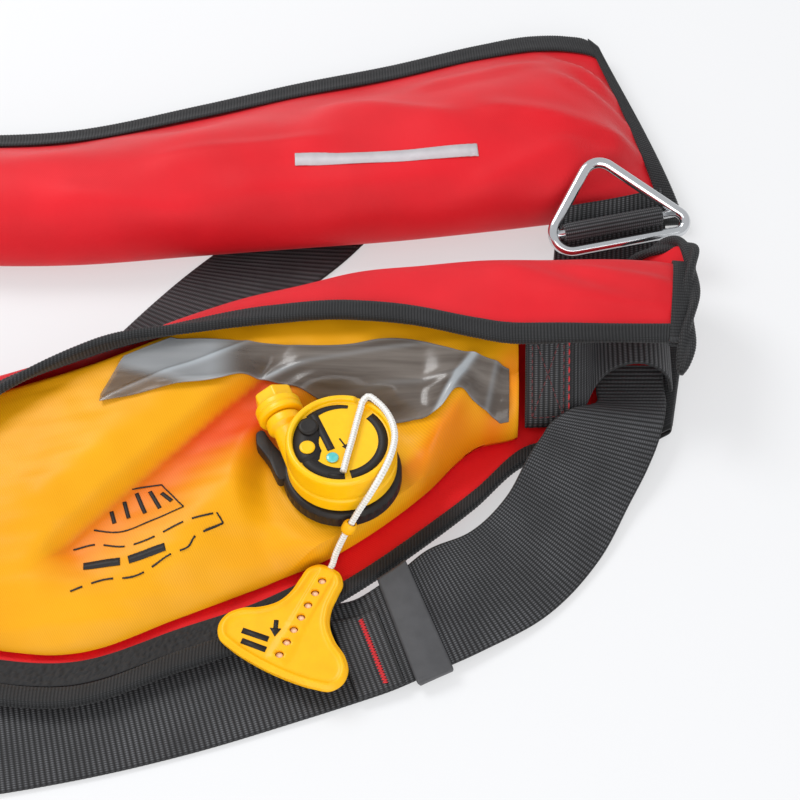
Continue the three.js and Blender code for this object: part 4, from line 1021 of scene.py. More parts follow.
def gripped(angle, radius, height):
    """Shallow grip slots round the outside of the black ring: a wave of the angle, cut off softly."""
    slot = ease(np.cos(angle * GRIP_SLOTS), 0.2, 0.8) * ease(height, 2.0, 3.0) * (1 - ease(height, 6.0, 7.0))
    return radius - GRIP_DEPTH * slot * (radius > 24), height


def notched(angle, radius, height):
    """The rim drops to the face over a few degrees, where the cord leaves the cap."""
    off = np.abs((angle - NOTCH_ANGLE + np.pi) % (2 * np.pi) - np.pi)
    dip = (1 - ease(off, NOTCH_INNER, NOTCH_OUTER)) * (height > NOTCH_FLOOR) * (radius > 20)
    return radius, mix(height, NOTCH_FLOOR, dip)


base_profile = rounded([[17, 0], [25.2, 0], [26.4, 1.4], [26.4, 7], [25, 9], [17, 9]], 0.9, closed=True)
base = turned("inflator_ring", base_profile, 240, INFLATOR, closed=True, shape=gripped)
dress(base, BLACK_PLASTIC, "black_plastic", "inflator_base")
BODY_PROFILE = [
    [0, 9.4], [23.2, 9.4], [24.3, 10.6], [24.3, 16.8], [23.5, 17.5], [23.5, 19], [24.3, 19.7],
    [24.3, 29.6], [23.3, 31], [21.9, 31], [21.2, 30.2], [21.2, FACE_LEVEL], [0, FACE_LEVEL],
]
body = turned("inflator_cap", rounded(BODY_PROFILE, 0.7), 180, INFLATOR, shape=notched)
dress(body, CAP_PLASTIC, "yellow_plastic", "inflator_body")

# %% [markdown]
# The black clamp reaches out under the pipe as a lever. It is a slab with rounded edges: an outline
# is drawn in towards its middle at the top and the bottom, along a quarter circle.


# %% Lever
def slab(name, outline, low, high, soft, at=(0, 0, 0)):
    """A flat plate with an outline and rounded edges; it is closed by shrinking to its middle."""
    outline = np.asarray(outline, float)
    middle = outline.mean(axis=0)
    turn = np.linspace(0, np.pi / 2, 6)
    fall, rise = soft * (1 - np.sin(turn)), soft * (1 - np.cos(turn))
    inset = np.concatenate([[np.inf], fall, rise, [np.inf]])
    height = np.concatenate([[low], low + rise, high - fall, [high]])
    size = np.linalg.norm(outline - middle, axis=1)
    scale = np.maximum(1 - inset[:, None] / size[None], 0)
    plan = middle + (outline - middle)[None] * scale[..., None]
    grid = np.concatenate([plan, np.repeat(height[:, None, None], len(outline), axis=1)], axis=2)
    return weld(surface(name, grid + np.asarray(at), loop_columns=True, ladder=False))


LEVER = [
    [-39, 20], [-38.6, 13.5], [-35.2, 8.5], [-32.4, 4.2], [-30.4, -0.8], [-28, -6], [-22, -4],
    [-24, 5], [-29, 11], [-33, 16.5], [-35.8, 21.5],
]
LEVER_LOW, LEVER_HIGH, LEVER_SOFT = 1.6, 8.4, 1.0
lever = slab("clamp_lever", rounded(LEVER, 1.8, closed=True), LEVER_LOW, LEVER_HIGH, LEVER_SOFT, INFLATOR)
dress(lever, BLACK_PLASTIC, "black_plastic")

# %% [markdown]
# The pipe and its screw cap are turned about a slanting axis. The end of the cap has six flats for a
# tool: the radius of a hexagon is its flat's distance over the cosine of the angle from the flat.

# %% Pipe and screw cap
PIPE_ROOT, PIPE_END, CAP_END = np.array([[-17, -4, 16], [-26.6, 20, 18.2], [-31.6, 32.5, 19.4]])
pipe_way = PIPE_END - PIPE_ROOT
pipe_length = np.linalg.norm(pipe_way)
pipe = rounded([
    [0, 0], [6.8, 0], [6.4, 19], [8.2, 21], [8.2, pipe_length - 1], [7, pipe_length], [0, pipe_length],
], 0.6)
dress(turned("inlet_pipe", pipe, 72, INFLATOR + PIPE_ROOT, pipe_way), CAP_PLASTIC, "yellow_plastic")


def six_sided(angle, radius, height):
    """The end of the screw cap is a hexagon with soft corners, for a tool."""
    flat = np.cos(np.pi / 6) / np.cos(angle % (np.pi / 3) - np.pi / 6)
    end = ease(height, 6.9, 7.2)
    return radius * mix(1.0, np.minimum(flat, 0.975), end), height


screw_cap = rounded([
    [0, 0], [9.8, 0], [10.4, 0.7], [10.4, 2.4], [10, 2.7], [10, 3.3], [10.4, 3.6], [10.4, 6.0], [9.8, 6.8],
    [9.4, 7.0], [9.2, 12.2], [8.4, 13.1], [6, 13.1], [5.7, 12.5], [0, 12.5],
], 0.35)
cap_at = INFLATOR + mix(PIPE_END, CAP_END, 0.03)
inlet = turned("screw_cap", screw_cap, 144, cap_at, CAP_END - PIPE_END, shape=six_sided)
dress(inlet, CAP_PLASTIC, "yellow_plastic", "inlet_cap")

# %% [markdown]
# The sunk face carries printed bands, a dark button, a yellow button and a small teal indicator. The
# print is plain: curved and straight bars and one small arrow.

# %% Face of the cap
FACE = INFLATOR + [0, 0, FACE_LEVEL]
ARC_POINTS = 40


def on_face(points):
    """Points on the cap's sunk face in the frame."""
    return points + FACE


def ribbon(line, width, high, low):
    """Four corner lines of a flat bar along plan points, with one width or a width at each point."""
    line = np.asarray(line, float)
    way = unit(np.gradient(line, axis=0))
    half = np.broadcast_to(np.asarray(width, float) / 2, len(line))[:, None]
    side = np.stack([-way[:, 1], way[:, 0]], axis=1) * half
    corners = ((1, high), (-1, high), (-1, low), (1, low))
    return np.stack([np.column_stack([line + k * side, np.full(len(line), z)]) for k, z in corners], axis=1)


def bar(name, line, width, high, low=0.02, place=on_face):
    """A flat bar on a face."""
    return surface(name, place(ribbon(line, width, high, low)))


def arc(radius, start, stop):
    """Plan points on a circle between two angles in degrees."""
    angle = np.radians(np.linspace(start, stop, ARC_POINTS))
    return np.stack([radius * np.cos(angle), radius * np.sin(angle)], axis=1)


slant = mix(np.array([[-12.6, 14.6]]), np.array([[-4.2, -4.6]]), np.linspace(0, 1, ARC_POINTS)[:, None])
shoulder = np.minimum(np.sin(np.linspace(0.25, np.pi - 0.25, ARC_POINTS)) * 1.6, 1)
FACE_MARKS = {
    # line, width and height above the face
    "face_crescent": (arc(15.4, 132, 226), 11.4 * shoulder, 0.18),
    "face_left_band": (arc(17.4, 216, 276), 6.2, 0.22),
    "face_right_band": (arc(18.2, -76, 48), 4.2, 0.2),
    "face_top_band": (arc(18.6, 82, 140), np.linspace(1.6, 3.4, ARC_POINTS), 0.24),
    "face_slant": (slant, 3.4, 0.28),
    "face_arrow_line": ([[-0.8, 1.4], [2.2, -3.2]], 0.7, 0.16),
    "face_arrow_head": ([[1.5, -2.2], [3.4, -5.0]], [2.6, 0.1], 0.2),
    "face_slot": ([[-5.2, -17.6], [1.4, -18.6]], 1.7, 0.3),
}
for name, (line, width, high) in FACE_MARKS.items():
    dress(bar(name, line, width, high), FACE_BLACK, "black_plastic")

# %% [markdown]
# The buttons and the indicator are small turned parts that stand on the face. The two buttons share a
# profile, which is scaled for the smaller one.

# %% Buttons and indicator
button = rounded([[0, 0], [4.4, 0], [4.4, 0.9], [3.4, 1.5], [0, 1.2]], 0.4)
dark_button = turned("dark_button", button, 64, FACE + [-14.4, 7.2, 0.3])
dress(dark_button, BLACK_PLASTIC, "black_plastic", "arming_button")
yellow_button = turned("yellow_button", button * [0.78, 0.7], 64, FACE + [-14.6, -3.6, 0.2])
dress(yellow_button, CAP_PLASTIC, "yellow_plastic")
lens = rounded([[0, 0], [2.7, 0], [2.7, 0.5], [2.0, 0.9], [0, 1.05]], 0.4)
dress(turned("teal_lens", lens, 64, FACE + [-3.6, -9, 0.3]), TEAL_PLASTIC, "teal_plastic", "status_window")

# %% [markdown]
# ## Pull cord, bead and tab
# A braided cord comes out of the slot in the face, bends over the notch, runs round the rim and down
# to the tab. Its path goes through a few points, with knots at the square root of the distance, so
# close points do not make loops. The braid shows in the outline as two crossing waves.

# %% Cord and bead
CORD_DIAMETER, BRAID_PITCH, BRAID_SWELL, BEAD_SHARE = 2.8, 7.0, 0.16, 0.82
CORD_POINTS = np.array([
    [-24.3, -66.4, 57.4], [-22.8, -59, 57.4], [-20.6, -49, 57.4], [-18.6, -39, 57.4],
    [-17.2, -33, 57.7], [-16.2, -30.2, 59.3], [-13.8, -28.2, 60], [-9.8, -31.2, 59.8],
    [-6.4, -35.6, 59.8], [-3.6, -41.5, 59.8], [-2.3, -48.5, 59.8], [-3, -55.6, 59.8],
    [-5.2, -63.2, 59.7], [-8.4, -69.4, 57.6], [-12.6, -73.8, 51.8], [-17.6, -77.2, 43.6],
    [-21.6, -80, 36], [-25.2, -82.4, 28.2], [-28, -84.8, 21], [-29.7, -87.3, 16],
    [-31.5, -91, 15.4],
])


def even_path(points, step):
    """A smooth line through points, resampled at even distances."""
    knots = np.concatenate([[0], np.cumsum(np.linalg.norm(np.diff(points, axis=0), axis=1) ** 0.5)])
    fine = smooth_rows(knots, points, np.linspace(0, knots[-1], 4000))
    run = path_length(fine)
    at = np.linspace(0, run[-1], int(round(run[-1] / step)) + 1)
    return np.stack([np.interp(at, run, fine[:, k]) for k in range(3)], axis=1)


def path_frames(path):
    """Two directions across a path at each point, carried along it without twisting."""
    way = unit(np.gradient(path, axis=0))
    side = np.zeros_like(way)
    side[0] = basis(way[0])[0]
    for k in range(1, len(way)):
        side[k] = unit(side[k - 1] - way[k] * (side[k - 1] @ way[k]))
    return side, np.cross(way, side), way


def tube(name, path, radius, sides, swell=None, **values):
    """A round tube along a path; swell changes the radius with distance and angle."""
    side, third, _ = path_frames(path)
    angle = np.linspace(0, 2 * np.pi, sides, endpoint=False)
    spokes = side[:, None] * np.cos(angle)[None, :, None] + third[:, None] * np.sin(angle)[None, :, None]
    size = np.full((len(path), sides), float(radius))
    if swell:
        size = size + swell(path_length(path)[:, None], angle[None])
    return surface(name, path[:, None] + spokes * size[..., None], **values)


def braid(run, angle):
    """Strands that cross: a product of two screws turning opposite ways."""
    turn = run * 2 * np.pi / BRAID_PITCH
    return BRAID_SWELL * np.sin(4 * angle + 2 * turn) * np.sin(4 * angle - 2 * turn)


cord_path = even_path(CORD_POINTS, 0.45)
cord = tube("braided_pull_cord", cord_path, CORD_DIAMETER / 2, 24, braid)
dress(cord, CORD_BRAID, "white_cord", "pull_cord")
bead_at = int(BEAD_SHARE * (len(cord_path) - 1))
bead_way = cord_path[bead_at + 1] - cord_path[bead_at - 1]
bead_profile = rounded(
    [[1.75, -2.6], [2.4, -2.9], [3.2, -1.4], [3.2, 1.4], [2.4, 2.9], [1.75, 2.6]], 0.8, closed=True
)
bead = turned("cord_stop", bead_profile, 48, cord_path[bead_at], bead_way, closed=True)
dress(bead, TAB_PLASTIC, "tab_plastic", "cord_bead")

# %% [markdown]
# The tab is soft moulded plastic: a T with a thick rounded rim and a ribbed stem with seven holes. Its
# top is a height over the plan: it rounds off towards the outline, and swells where the rim and the
# stem are. The distance from each point to the outline gives both.

# %% Pull tab
TAB_OUTLINE = np.array([
    [-8, 0], [-7, 5.2], [-3.4, 8.6], [3, 9.4], [10, 10], [17, 12.6], [23, 18.4], [27.4, 25.4],
    [32.5, 29.4], [39, 30], [44, 27], [46.4, 20], [48, 9], [48.4, 0],
])
RIM_AT, RIM_WIDE, RIM_HIGH, STEM_HIGH, TAB_SUNK = 2.4, 1.1, 1.0, 0.85, 0.35
TAB_TOP = np.array([-33.9, -95.9, 15.2])
TAB_HALF, HOLE_RADIUS, HOLE_PITCH, HOLES = 1.7, 1.9, 6.6, 7
tab_up = basis([0.0416, -0.078, 1])[2]
tab_down = np.array([-0.438, -0.899, 0])
tab_down = unit(tab_down - tab_up * (tab_down @ tab_up))
tab_side = np.cross(tab_up, tab_down)


def on_tab(points):
    """Points of the tab's own plan and height in the frame."""
    return TAB_TOP + points[..., :1] * tab_down + points[..., 1:2] * tab_side + points[..., 2:] * tab_up


outline_run = path_length(TAB_OUTLINE)
outline = smooth_rows(outline_run, TAB_OUTLINE, np.linspace(0, outline_run[-1], 130))
outline[:, 1] = np.maximum(outline[:, 1], 0)
shares = np.sin(np.linspace(-1, 1, 61) * np.pi / 2)
down = np.repeat(outline[:, :1], len(shares), axis=1)
side = outline[:, 1:] * shares[None]
rim = np.concatenate([outline, outline * [1, -1]])
gap = np.hypot(down[..., None] - rim[:, 0], side[..., None] - rim[:, 1]).min(axis=2)
round_off = np.sqrt(1 - (1 - np.minimum(gap / TAB_HALF, 1)) ** 2)
stem = (1 - ease(np.abs(side), 3.0, 4.0)) * ease(down, -5.5, -4.0) * (1 - ease(down, 42.5, 44.0))
relief = RIM_HIGH * np.exp(-(((gap - RIM_AT) / RIM_WIDE) ** 2)) + STEM_HIGH * stem * ease(gap, 2.0, 4.0)
top = on_tab(np.stack([down, side, (TAB_HALF - TAB_SUNK + relief) * round_off], axis=2))
under = on_tab(np.stack([down, side, -TAB_HALF * round_off], axis=2))
plate = weld(surface("pull_tab_soft", there_and_back(top, under), ladder=False))

# %% [markdown]
# Each hole is a cylinder that cuts through the tab, as a punch would. The cut is worked out once, and
# its result becomes the mesh. Pale cores sit in the holes, with bars and an arrow as print beside them.

# %% Holes, cores and print on the tab
hole_places = [TAB_TOP + tab_down * (k * HOLE_PITCH) for k in range(HOLES)]
hole_line = rounded([[0, -5], [HOLE_RADIUS, -5], [HOLE_RADIUS, 5], [0, 5]], 0.01, 2)
cutters = [turned("cutter", hole_line, 28, place, tab_up) for place in hole_places]
for cutter in cutters:
    cut = plate.modifiers.new("hole", "BOOLEAN")
    cut.object, cut.operation, cut.solver = cutter, "DIFFERENCE", "EXACT"
bpy.context.view_layer.update()
punched = plate.evaluated_get(bpy.context.evaluated_depsgraph_get())
plate.data = bpy.data.meshes.new_from_object(punched)
plate.modifiers.clear()
for cutter in cutters:
    bpy.data.objects.remove(cutter)
dress(plate, TAB_PLASTIC, "tab_plastic", "pull_tab")
TAB_MARKS = {
    "tab_arrow_line": ([[25.8, -8.8], [29.6, -7.2]], 2.0),
    "tab_arrow_head": ([[29.4, -7.3], [33.0, -5.8]], [5.0, 0.1]),
    "tab_bar_0": ([[36.8, -19.5], [35.4, -7.6]], 2.6),
    "tab_bar_1": ([[41.2, -17.5], [40.2, -6.2]], 2.6),
}
for name, (line, width) in TAB_MARKS.items():
    dress(bar(name, line, width, TAB_HALF - 0.14, TAB_HALF - 0.4, on_tab), FACE_BLACK, "tab_plastic")
core_line = rounded([[0, -1.5], [HOLE_RADIUS - 0.25, -1.5], [HOLE_RADIUS - 0.25, 0.1], [0, 0.8]], 0.5)
for k, place in enumerate(hole_places):
    dress(turned(f"tab_core_{k}", core_line, 28, place, tab_up), CORE_PLASTIC, "tab_plastic")

# %% [markdown]
# ## Prints
# Bladder and cover are printed. The print is kept plain: dashes, bars and a stripe. Each is a thin
# ribbon laid on the cloth. Its height at a point in plan is the mean of the cloth's points, weighted by
# nearness, and all ribbons of one print make one mesh.

# %% Prints
PRINT_STEP, DASH_GAP, PRINT_REACH = 0.8, 4, 60  # mm, steps, mm


def laid_on(cloth):
    """Puts plan points on a cloth: height is a mean weighted by the inverse sixth power of distance."""
    cloth = cloth.reshape(-1, 3)

    def place(points):
        """The points at their heights over the cloth."""
        flat = points.reshape(-1, 3)
        close = np.abs(cloth[:, :2] - flat[:, :2].mean(axis=0)).max(axis=1) < PRINT_REACH
        gap = np.sum((flat[:, None, :2] - cloth[None, close, :2]) ** 2, axis=2) + 0.05
        height = gap**-3 @ cloth[close, 2] / np.sum(gap**-3, axis=1)
        return np.column_stack([flat[:, :2], flat[:, 2] + height]).reshape(points.shape)

    return place


def printed(name, lines, cloth, lift, material, slot):
    """One mesh of ribbons; a line is its plan points, its width and its dash length, or 0, in mm."""
    place, points, corners, count = laid_on(cloth), [], [], 0
    for line, width, dash in lines:
        path = even_path(np.column_stack([line, np.zeros(len(line))]), PRINT_STEP)[:, :2]
        step = int(dash / PRINT_STEP) or len(path)
        for k in range(0, len(path) - DASH_GAP + 1, step + DASH_GAP):
            part = path[k : k + step]
            strip = place(ribbon(part, width, lift, 0.1)).reshape(-1, 3)
            faces, _ = grid_faces(len(part), 4, False, True, True)
            faces = faces[:, ::-1] if enclosed(strip, faces) < 0 else faces
            points.append(strip)
            corners.append(faces + count)
            count += len(strip)
    return dress(put_mesh(name, np.concatenate(points), np.concatenate(corners)), material, slot)


# %% [markdown]
# On the bladder a dashed outline with two bars lies below a small frame with five strokes. On the cover
# there is one pale stripe.

# %% Print on bladder and cover
DASHED_TOP = [[-142.4, -84], [-132.9, -82.5], [-120.2, -84.6], [-109.9, -82.8], [-94.2, -75.7], [-79.9, -71]]
DASHED_LOW = [
    [-77, -75], [-88.9, -82], [-91.6, -86.5], [-100.8, -90.8], [-114.9, -98.9], [-127.8, -100.2],
    [-141.6, -105.9],
]
BARS = [[[-137.1, -93.2], [-121.1, -92]], [[-117.5, -91.4], [-101.6, -86.9]]]
STROKES = [
    [[-127, -66], [-125.2, -72]], [[-121.6, -61.4], [-119, -70]], [[-116.5, -57.2], [-111.8, -68.3]],
    [[-110.6, -56.5], [-105.3, -66.5]], [[-105.3, -57.9], [-100.4, -63]],
]
FRAME_LINES = [
    [[-118.5, -55.2], [-112, -53.9], [-105.6, -53]], [[-105.6, -53], [-94.7, -67.5]],
    [[-94.7, -67.5], [-107.7, -72.7], [-120.8, -76.8], [-134, -75]],
]
STRIPE = [[-51.4, 128.1], [-7.3, 129.9], [38.3, 135.3]]
bladder_lines = [
    (DASHED_TOP, 0.7, 11), ([DASHED_TOP[-1], DASHED_LOW[0]], 0.7, 0), (DASHED_LOW, 0.7, 11),
    *((line, 3.4, 0) for line in BARS), *((line, 1.8, 0) for line in STROKES),
    *((line, 0.6, 0) for line in FRAME_LINES),
]
printed("bladder_print", bladder_lines, bladder_skin, 0.35, FACE_BLACK, "bladder_cloth")
printed("cover_print", [(STRIPE, 6.5, 0)], cover_skin, 0.5, PALE_PRINT, "cover_cloth")

# %% [markdown]
# ## Straps
# A strap is flat, so each row of its table gives one edge in space, the direction across it and how
# steeply it rises that way. The ribs lie across the strap: its half thickness swells with the
# distance along it. Webbing is a little thinner at its two woven edges.

# %% Strap tables
BELT_HALF, BELT_WIDTH = 0.9, 50.0
BELT = np.array([
    # x y z turn rise width
    [124, 28, 9, 180, 0, 31], [124, 14, 9.5, 180, 0, 32], [124, 4, 11.5, 180, 1, 33],
    [122.5, -5, 12.5, 179, 9, 43], [119, -17, 10.5, 174, 11, 50], [113, -31, 8, 168, 13.5, 51],
    [104.5, -47, 5, 161, 17, 51], [89, -76, 2.2, 153, 22, 50.5], [64, -105, 1.8, 139, 26, 50],
    [36, -123, 3.2, 122, 21, 50], [12, -135.5, 4, 111, 13, 46.5], [-3, -142, 2.6, 110, 2.2, 47],
    [-18, -147.5, 2, 109, 2.5, 49], [-44, -156.5, 1.3, 108, 2.5, 50], [-84, -170, 1, 107, 3, 50],
    [-137, -184, 1, 104, 3, 50], [-190, -193, 1, 99, 3, 50], [-240, -195, 1, 91, 5, 50],
    [-290, -187, 1, 78, 6, 50], [-335, -164, 1, 60, 1.5, 50], [-368, -130, 1, 40, 0, 50],
    [-389, -93, 1, 24, 0, 50], [-397, -58, 1, 10, 0, 50], [-398, -25, 1, 2, 0, 50],
])
BELT_LOOP = np.array([
    [58, -7, 7.8, 90, 43, 50], [70, -6.6, 8, 90, 43, 50], [79, -5.4, 9, 90, 43, 49.5],
    [85.5, 1, 12.4, 90, 36, 46], [90, 7.5, 18, 90, 24, 42], [96, 12, 24.5, 90, 13, 38],
    [105, 14.5, 28, 90, 8, 35], [114.5, 15, 27.5, 90, 8, 34], [121.5, 14.5, 23, 90, 8, 34],
    [126, 14, 15.5, 90, 8, 34], [127.3, 13.5, 8.6, 90, 8, 34],
])
BACK_STRAP = np.array([
    [-164, 14, 1, -40, 0, 34], [-146, 40, 1, -40, 0, 34], [-132, 59, 1, -34, 0, 38],
    [-120, 74.5, 1, -24, 0, 46], [-107, 90, 1, -13, 0, 57], [-92, 106, 1, -4, 0, 65],
    [-74, 124, 1, 2, 0, 66],
])
RING_STRAP = np.array([[74, 77, 2, 84, 38, 44], [104, 83, 2, 88, 38, 44], [132, 90, 2, 93, 38, 44]])
print("belt", round(path_length(BELT[:, :3])[-1]), "mm along its edge")

# %% [markdown]
# A strap's frame follows from its rows: the vector across it is known, the direction along it is the
# step between two middle points 2 mm apart, and the facing is at right angles to both. A woven layer
# then lies between two heights over that plane.


# %% Straps
class Strap:
    """Frames along a strap: edge, vector across, unit facing, and 1 or -1 if facing is up or down."""

    def __init__(self, rows, distance):
        """Looks up the rows; the facing is at right angles to the width and the middle line."""
        self.knots = path_length(rows[:, :3])
        self.distance = np.asarray(distance, float)
        self.edge, self.across = self.spot(rows, self.distance)
        ahead, behind = (self.spot(rows, self.distance + k) for k in (1, -1))
        along = ahead[0] + ahead[1] / 2 - behind[0] - behind[1] / 2
        self.facing = unit(np.cross(self.across, unit(along)))
        self.upper = np.where(self.facing[:, 2] < 0, -1.0, 1.0)

    def spot(self, rows, distance):
        """Edge point and vector across at clamped distances."""
        x, y, z, turn, rise, width = smooth_rows(self.knots, rows, np.clip(distance, 0, self.knots[-1])).T
        turn, rise = np.radians(turn), np.radians(rise)
        flat = width * np.cos(rise)
        across = np.stack([flat * np.cos(turn), flat * np.sin(turn), width * np.sin(rise)], axis=1)
        return np.stack([x, y, np.maximum(z, BELT_HALF + 0.1)], axis=1), across

    def place(self, share, height):
        """Points at a share of the width and a height above the middle plane."""
        share, height = np.broadcast_arrays(share, height)
        flat = self.edge[:, None] + self.across[:, None] * share[..., None]
        return flat + self.facing[:, None] * height[..., None]

    def sewn(self, share, height):
        """One point for each frame, at a share of the width and a height over the upper face."""
        return self.edge + self.across * share[:, None] + self.facing * (height * self.upper[:, None])

    def up(self):
        """The facing that looks upwards."""
        return self.facing * self.upper[:, None]


ACROSS = np.array([0.0, 0.012, 0.03, 0.06, 0.2, 0.4, 0.6, 0.8, 0.94, 0.97, 0.988, 1.0])
WOVEN_EDGE, RIB_RISE = 0.012, 0.3


def webbing_layer(name, rows, start, stop, low, high, t0=0.0, t1=1.0):
    """A woven layer between two heights over a strap's middle plane; ribs swell both faces."""
    distance = np.linspace(start, stop, int(abs(stop - start) / RIB_BELT * 6))
    strap = Strap(rows, distance)
    crest = ribs(distance, RIB_BELT)[:, None]
    thin = 1 - 0.5 * np.exp(-((np.minimum(ACROSS, 1 - ACROSS) / WOVEN_EDGE) ** 2))[None]
    middle, half = (low + high) / 2, (high - low) / 2
    rise = thin * (half + RIB_RISE * (crest - 0.6))
    side = strap.upper[:, None] if low > 0 else 1.0
    face, back = (strap.place(mix(t0, t1, ACROSS), side * z) for z in (middle + rise, middle - rise))
    edge_fade = there_and_back(thin, thin)
    return surface(name, there_and_back(face, back), crest=np.clip(crest * (1.6 * edge_fade - 0.6), 0, 1))


whole_straps = {
    "belt_webbing": (BELT, "belt"),
    "loop_webbing": (BELT_LOOP, "belt_loop"),
    "back_webbing": (BACK_STRAP, "back_strap"),
    "ring_webbing": (RING_STRAP, "ring_strap"),
}
for name, (rows, solid) in whole_straps.items():
    piece = webbing_layer(name, rows, 0, path_length(rows[:, :3])[-1], -BELT_HALF, BELT_HALF)
    dress(piece, WEBBING, "black_webbing", solid)

# %% [markdown]
# Two more layers lie on top. The anchor patch is sewn over the start of the tunnel, and the belt's end
# is turned back on itself beside the keeper.

# %% Patch and turn-back
belt_knots = path_length(BELT[:, :3])
PATCH_LOW, PATCH_HIGH = BELT_HALF + 0.45, BELT_HALF + 2.1
patch = webbing_layer("anchor_webbing", BELT_LOOP, 0.5, 21, PATCH_LOW, PATCH_HIGH, 0.03, 0.97)
dress(patch, WEBBING, "black_webbing", "anchor_patch")
FOLD_START, FOLD_STOP = belt_knots[11] - 6.5, belt_knots[12] - 0.5
fold = webbing_layer("folded_webbing", BELT, FOLD_START, FOLD_STOP, PATCH_LOW, PATCH_HIGH, 0.0, 0.8)
dress(fold, WEBBING, "black_webbing", "belt_fold")

# %% [markdown]
# ## Stitches
# A row of stitches is a row of short spindles that lie on the cloth: thick in the middle, pointed at
# the ends where the thread goes in. All spindles of a seam are worked out at once and make one mesh.

# %% Stitches
SPINDLE = 6  # rings along a stitch, and points round each ring


def stitches(name, starts, stops, normals, radius, material):
    """One mesh of thread spindles from start points to stop points, bulging along the normals."""
    t = np.linspace(0, 1, SPINDLE)
    angle = np.linspace(0, 2 * np.pi, SPINDLE, endpoint=False)
    way = stops - starts
    side = np.cross(normals, unit(way))
    swell = radius * (0.15 + 0.85 * np.sin(np.pi * t))
    core = starts[:, None] + way[:, None] * t[None, :, None]
    core = core + normals[:, None] * (radius * 0.6 * np.sin(np.pi * t))[None, :, None]
    ring = side[:, None] * np.cos(angle)[None, :, None] + normals[:, None] * np.sin(angle)[None, :, None]
    points = core[:, :, None] + ring[:, None] * swell[None, :, None, None]
    corners, _ = grid_faces(SPINDLE, SPINDLE, False, True, True)
    if enclosed(points[0].reshape(-1, 3), corners) < 0:
        corners = corners[:, ::-1]
    every = (corners[None] + SPINDLE**2 * np.arange(len(starts))[:, None, None]).reshape(-1, 4)
    return dress(put_mesh(name, points.reshape(-1, 3), every), material, "black_webbing")


def strap_seam(name, rows, path, height, pitch, material, radius=0.32):
    """A straight seam on a strap, from one (distance, share of width) to another."""
    (d0, t0), (d1, t1) = path
    span = np.hypot(d1 - d0, (t1 - t0) * BELT_WIDTH)
    count = max(int(span / pitch), 1)
    entry, leave = ((np.arange(count) + share) / count for share in (0.08, 0.9))
    first, second = (Strap(rows, mix(d0, d1, share)) for share in (entry, leave))
    starts, stops = first.sewn(mix(t0, t1, entry), height), second.sewn(mix(t0, t1, leave), height)
    print(name, count, "stitches")
    return stitches(name, starts, stops, first.up(), radius, material)


TOP_OF_PATCH = PATCH_HIGH + 0.12
box = [(3.0, 0.10), (17.5, 0.10), (17.5, 0.90), (3.0, 0.90)]
seams = {f"patch_box_{k}": (box[k], box[(k + 1) % 4]) for k in range(4)}
seams |= {f"patch_cross_{k}": (box[k], box[k + 2]) for k in range(2)}
for name, path in seams.items():
    strap_seam(name, BELT_LOOP, path, TOP_OF_PATCH, 2.9, DARK_RED_THREAD)
strap_seam("patch_edge", BELT_LOOP, ((19.6, 0.06), (19.6, 0.9)), TOP_OF_PATCH, 4.2, RED_THREAD, 0.42)

# %% [markdown]
# The sewn turn-back of the belt is closed by a bar tack: a dense zigzag of red thread. Each stitch
# crosses the tack's width and the next one crosses back.

# %% Bar tack
TACK_STITCHES, TACK_HALF, TACK_STEP = 46, 1.4, 0.011  # count, mm, share of the belt's width
tack = np.arange(TACK_STITCHES)
tack_share = mix(0.06, 0.74, tack / (TACK_STITCHES - 1))
tack_middle = mix(FOLD_START, FOLD_STOP, 0.38)
swing = np.where(tack % 2 == 0, -TACK_HALF, TACK_HALF)
left, right = Strap(BELT, tack_middle + swing), Strap(BELT, tack_middle - swing)
starts, stops = left.sewn(tack_share, TOP_OF_PATCH), right.sewn(tack_share + TACK_STEP, TOP_OF_PATCH)
stitches("fold_tack", starts, stops, left.up(), 0.4, RED_THREAD)

# %% [markdown]
# ## The keeper
# A flat plastic band slides on the belt and holds its free end. Its section across the belt is a
# rounded loop, and the same loop follows the belt for 16 mm.

# %% Keeper
KEEPER_AT, KEEPER_WIDTH, KEEPER_GAP, KEEPER_WALL = belt_knots[10] - 3, 16.0, 1.15, 1.5
KEEPER_CORNER = 2.2


def keeper_loop(grow):
    """Closed line round the belt at a distance, as share of the width and height."""
    side, high = grow / BELT_WIDTH, BELT_HALF + grow
    loop = np.array([[-side, high], [1 + side, high], [1 + side, -high], [-side, -high]]) * [BELT_WIDTH, 1]
    return rounded(loop, KEEPER_CORNER, 7, closed=True) / [BELT_WIDTH, 1]


strap = Strap(BELT, KEEPER_AT + KEEPER_WIDTH * np.linspace(-0.5, 0.5, 15))
skins = (KEEPER_GAP + KEEPER_WALL, KEEPER_GAP)
outside, inside = (strap.place(*keeper_loop(grow).T[:, None]) for grow in skins)
band = np.concatenate([outside, inside[::-1]], axis=0)
keeper = surface("keeper_band", band, loop_rows=True, ladder=False)
dress(keeper, KEEPER_PLASTIC, "grey_plastic", "belt_keeper")

# %% [markdown]
# ## The lifting ring
# The ring is one bent steel rod, a triangle with round corners, and a bar is welded across it. The
# bar turns in a webbing sleeve, so this piece rides on its own body. Corners are arcs that touch
# both sides; the tube then follows the closed line.

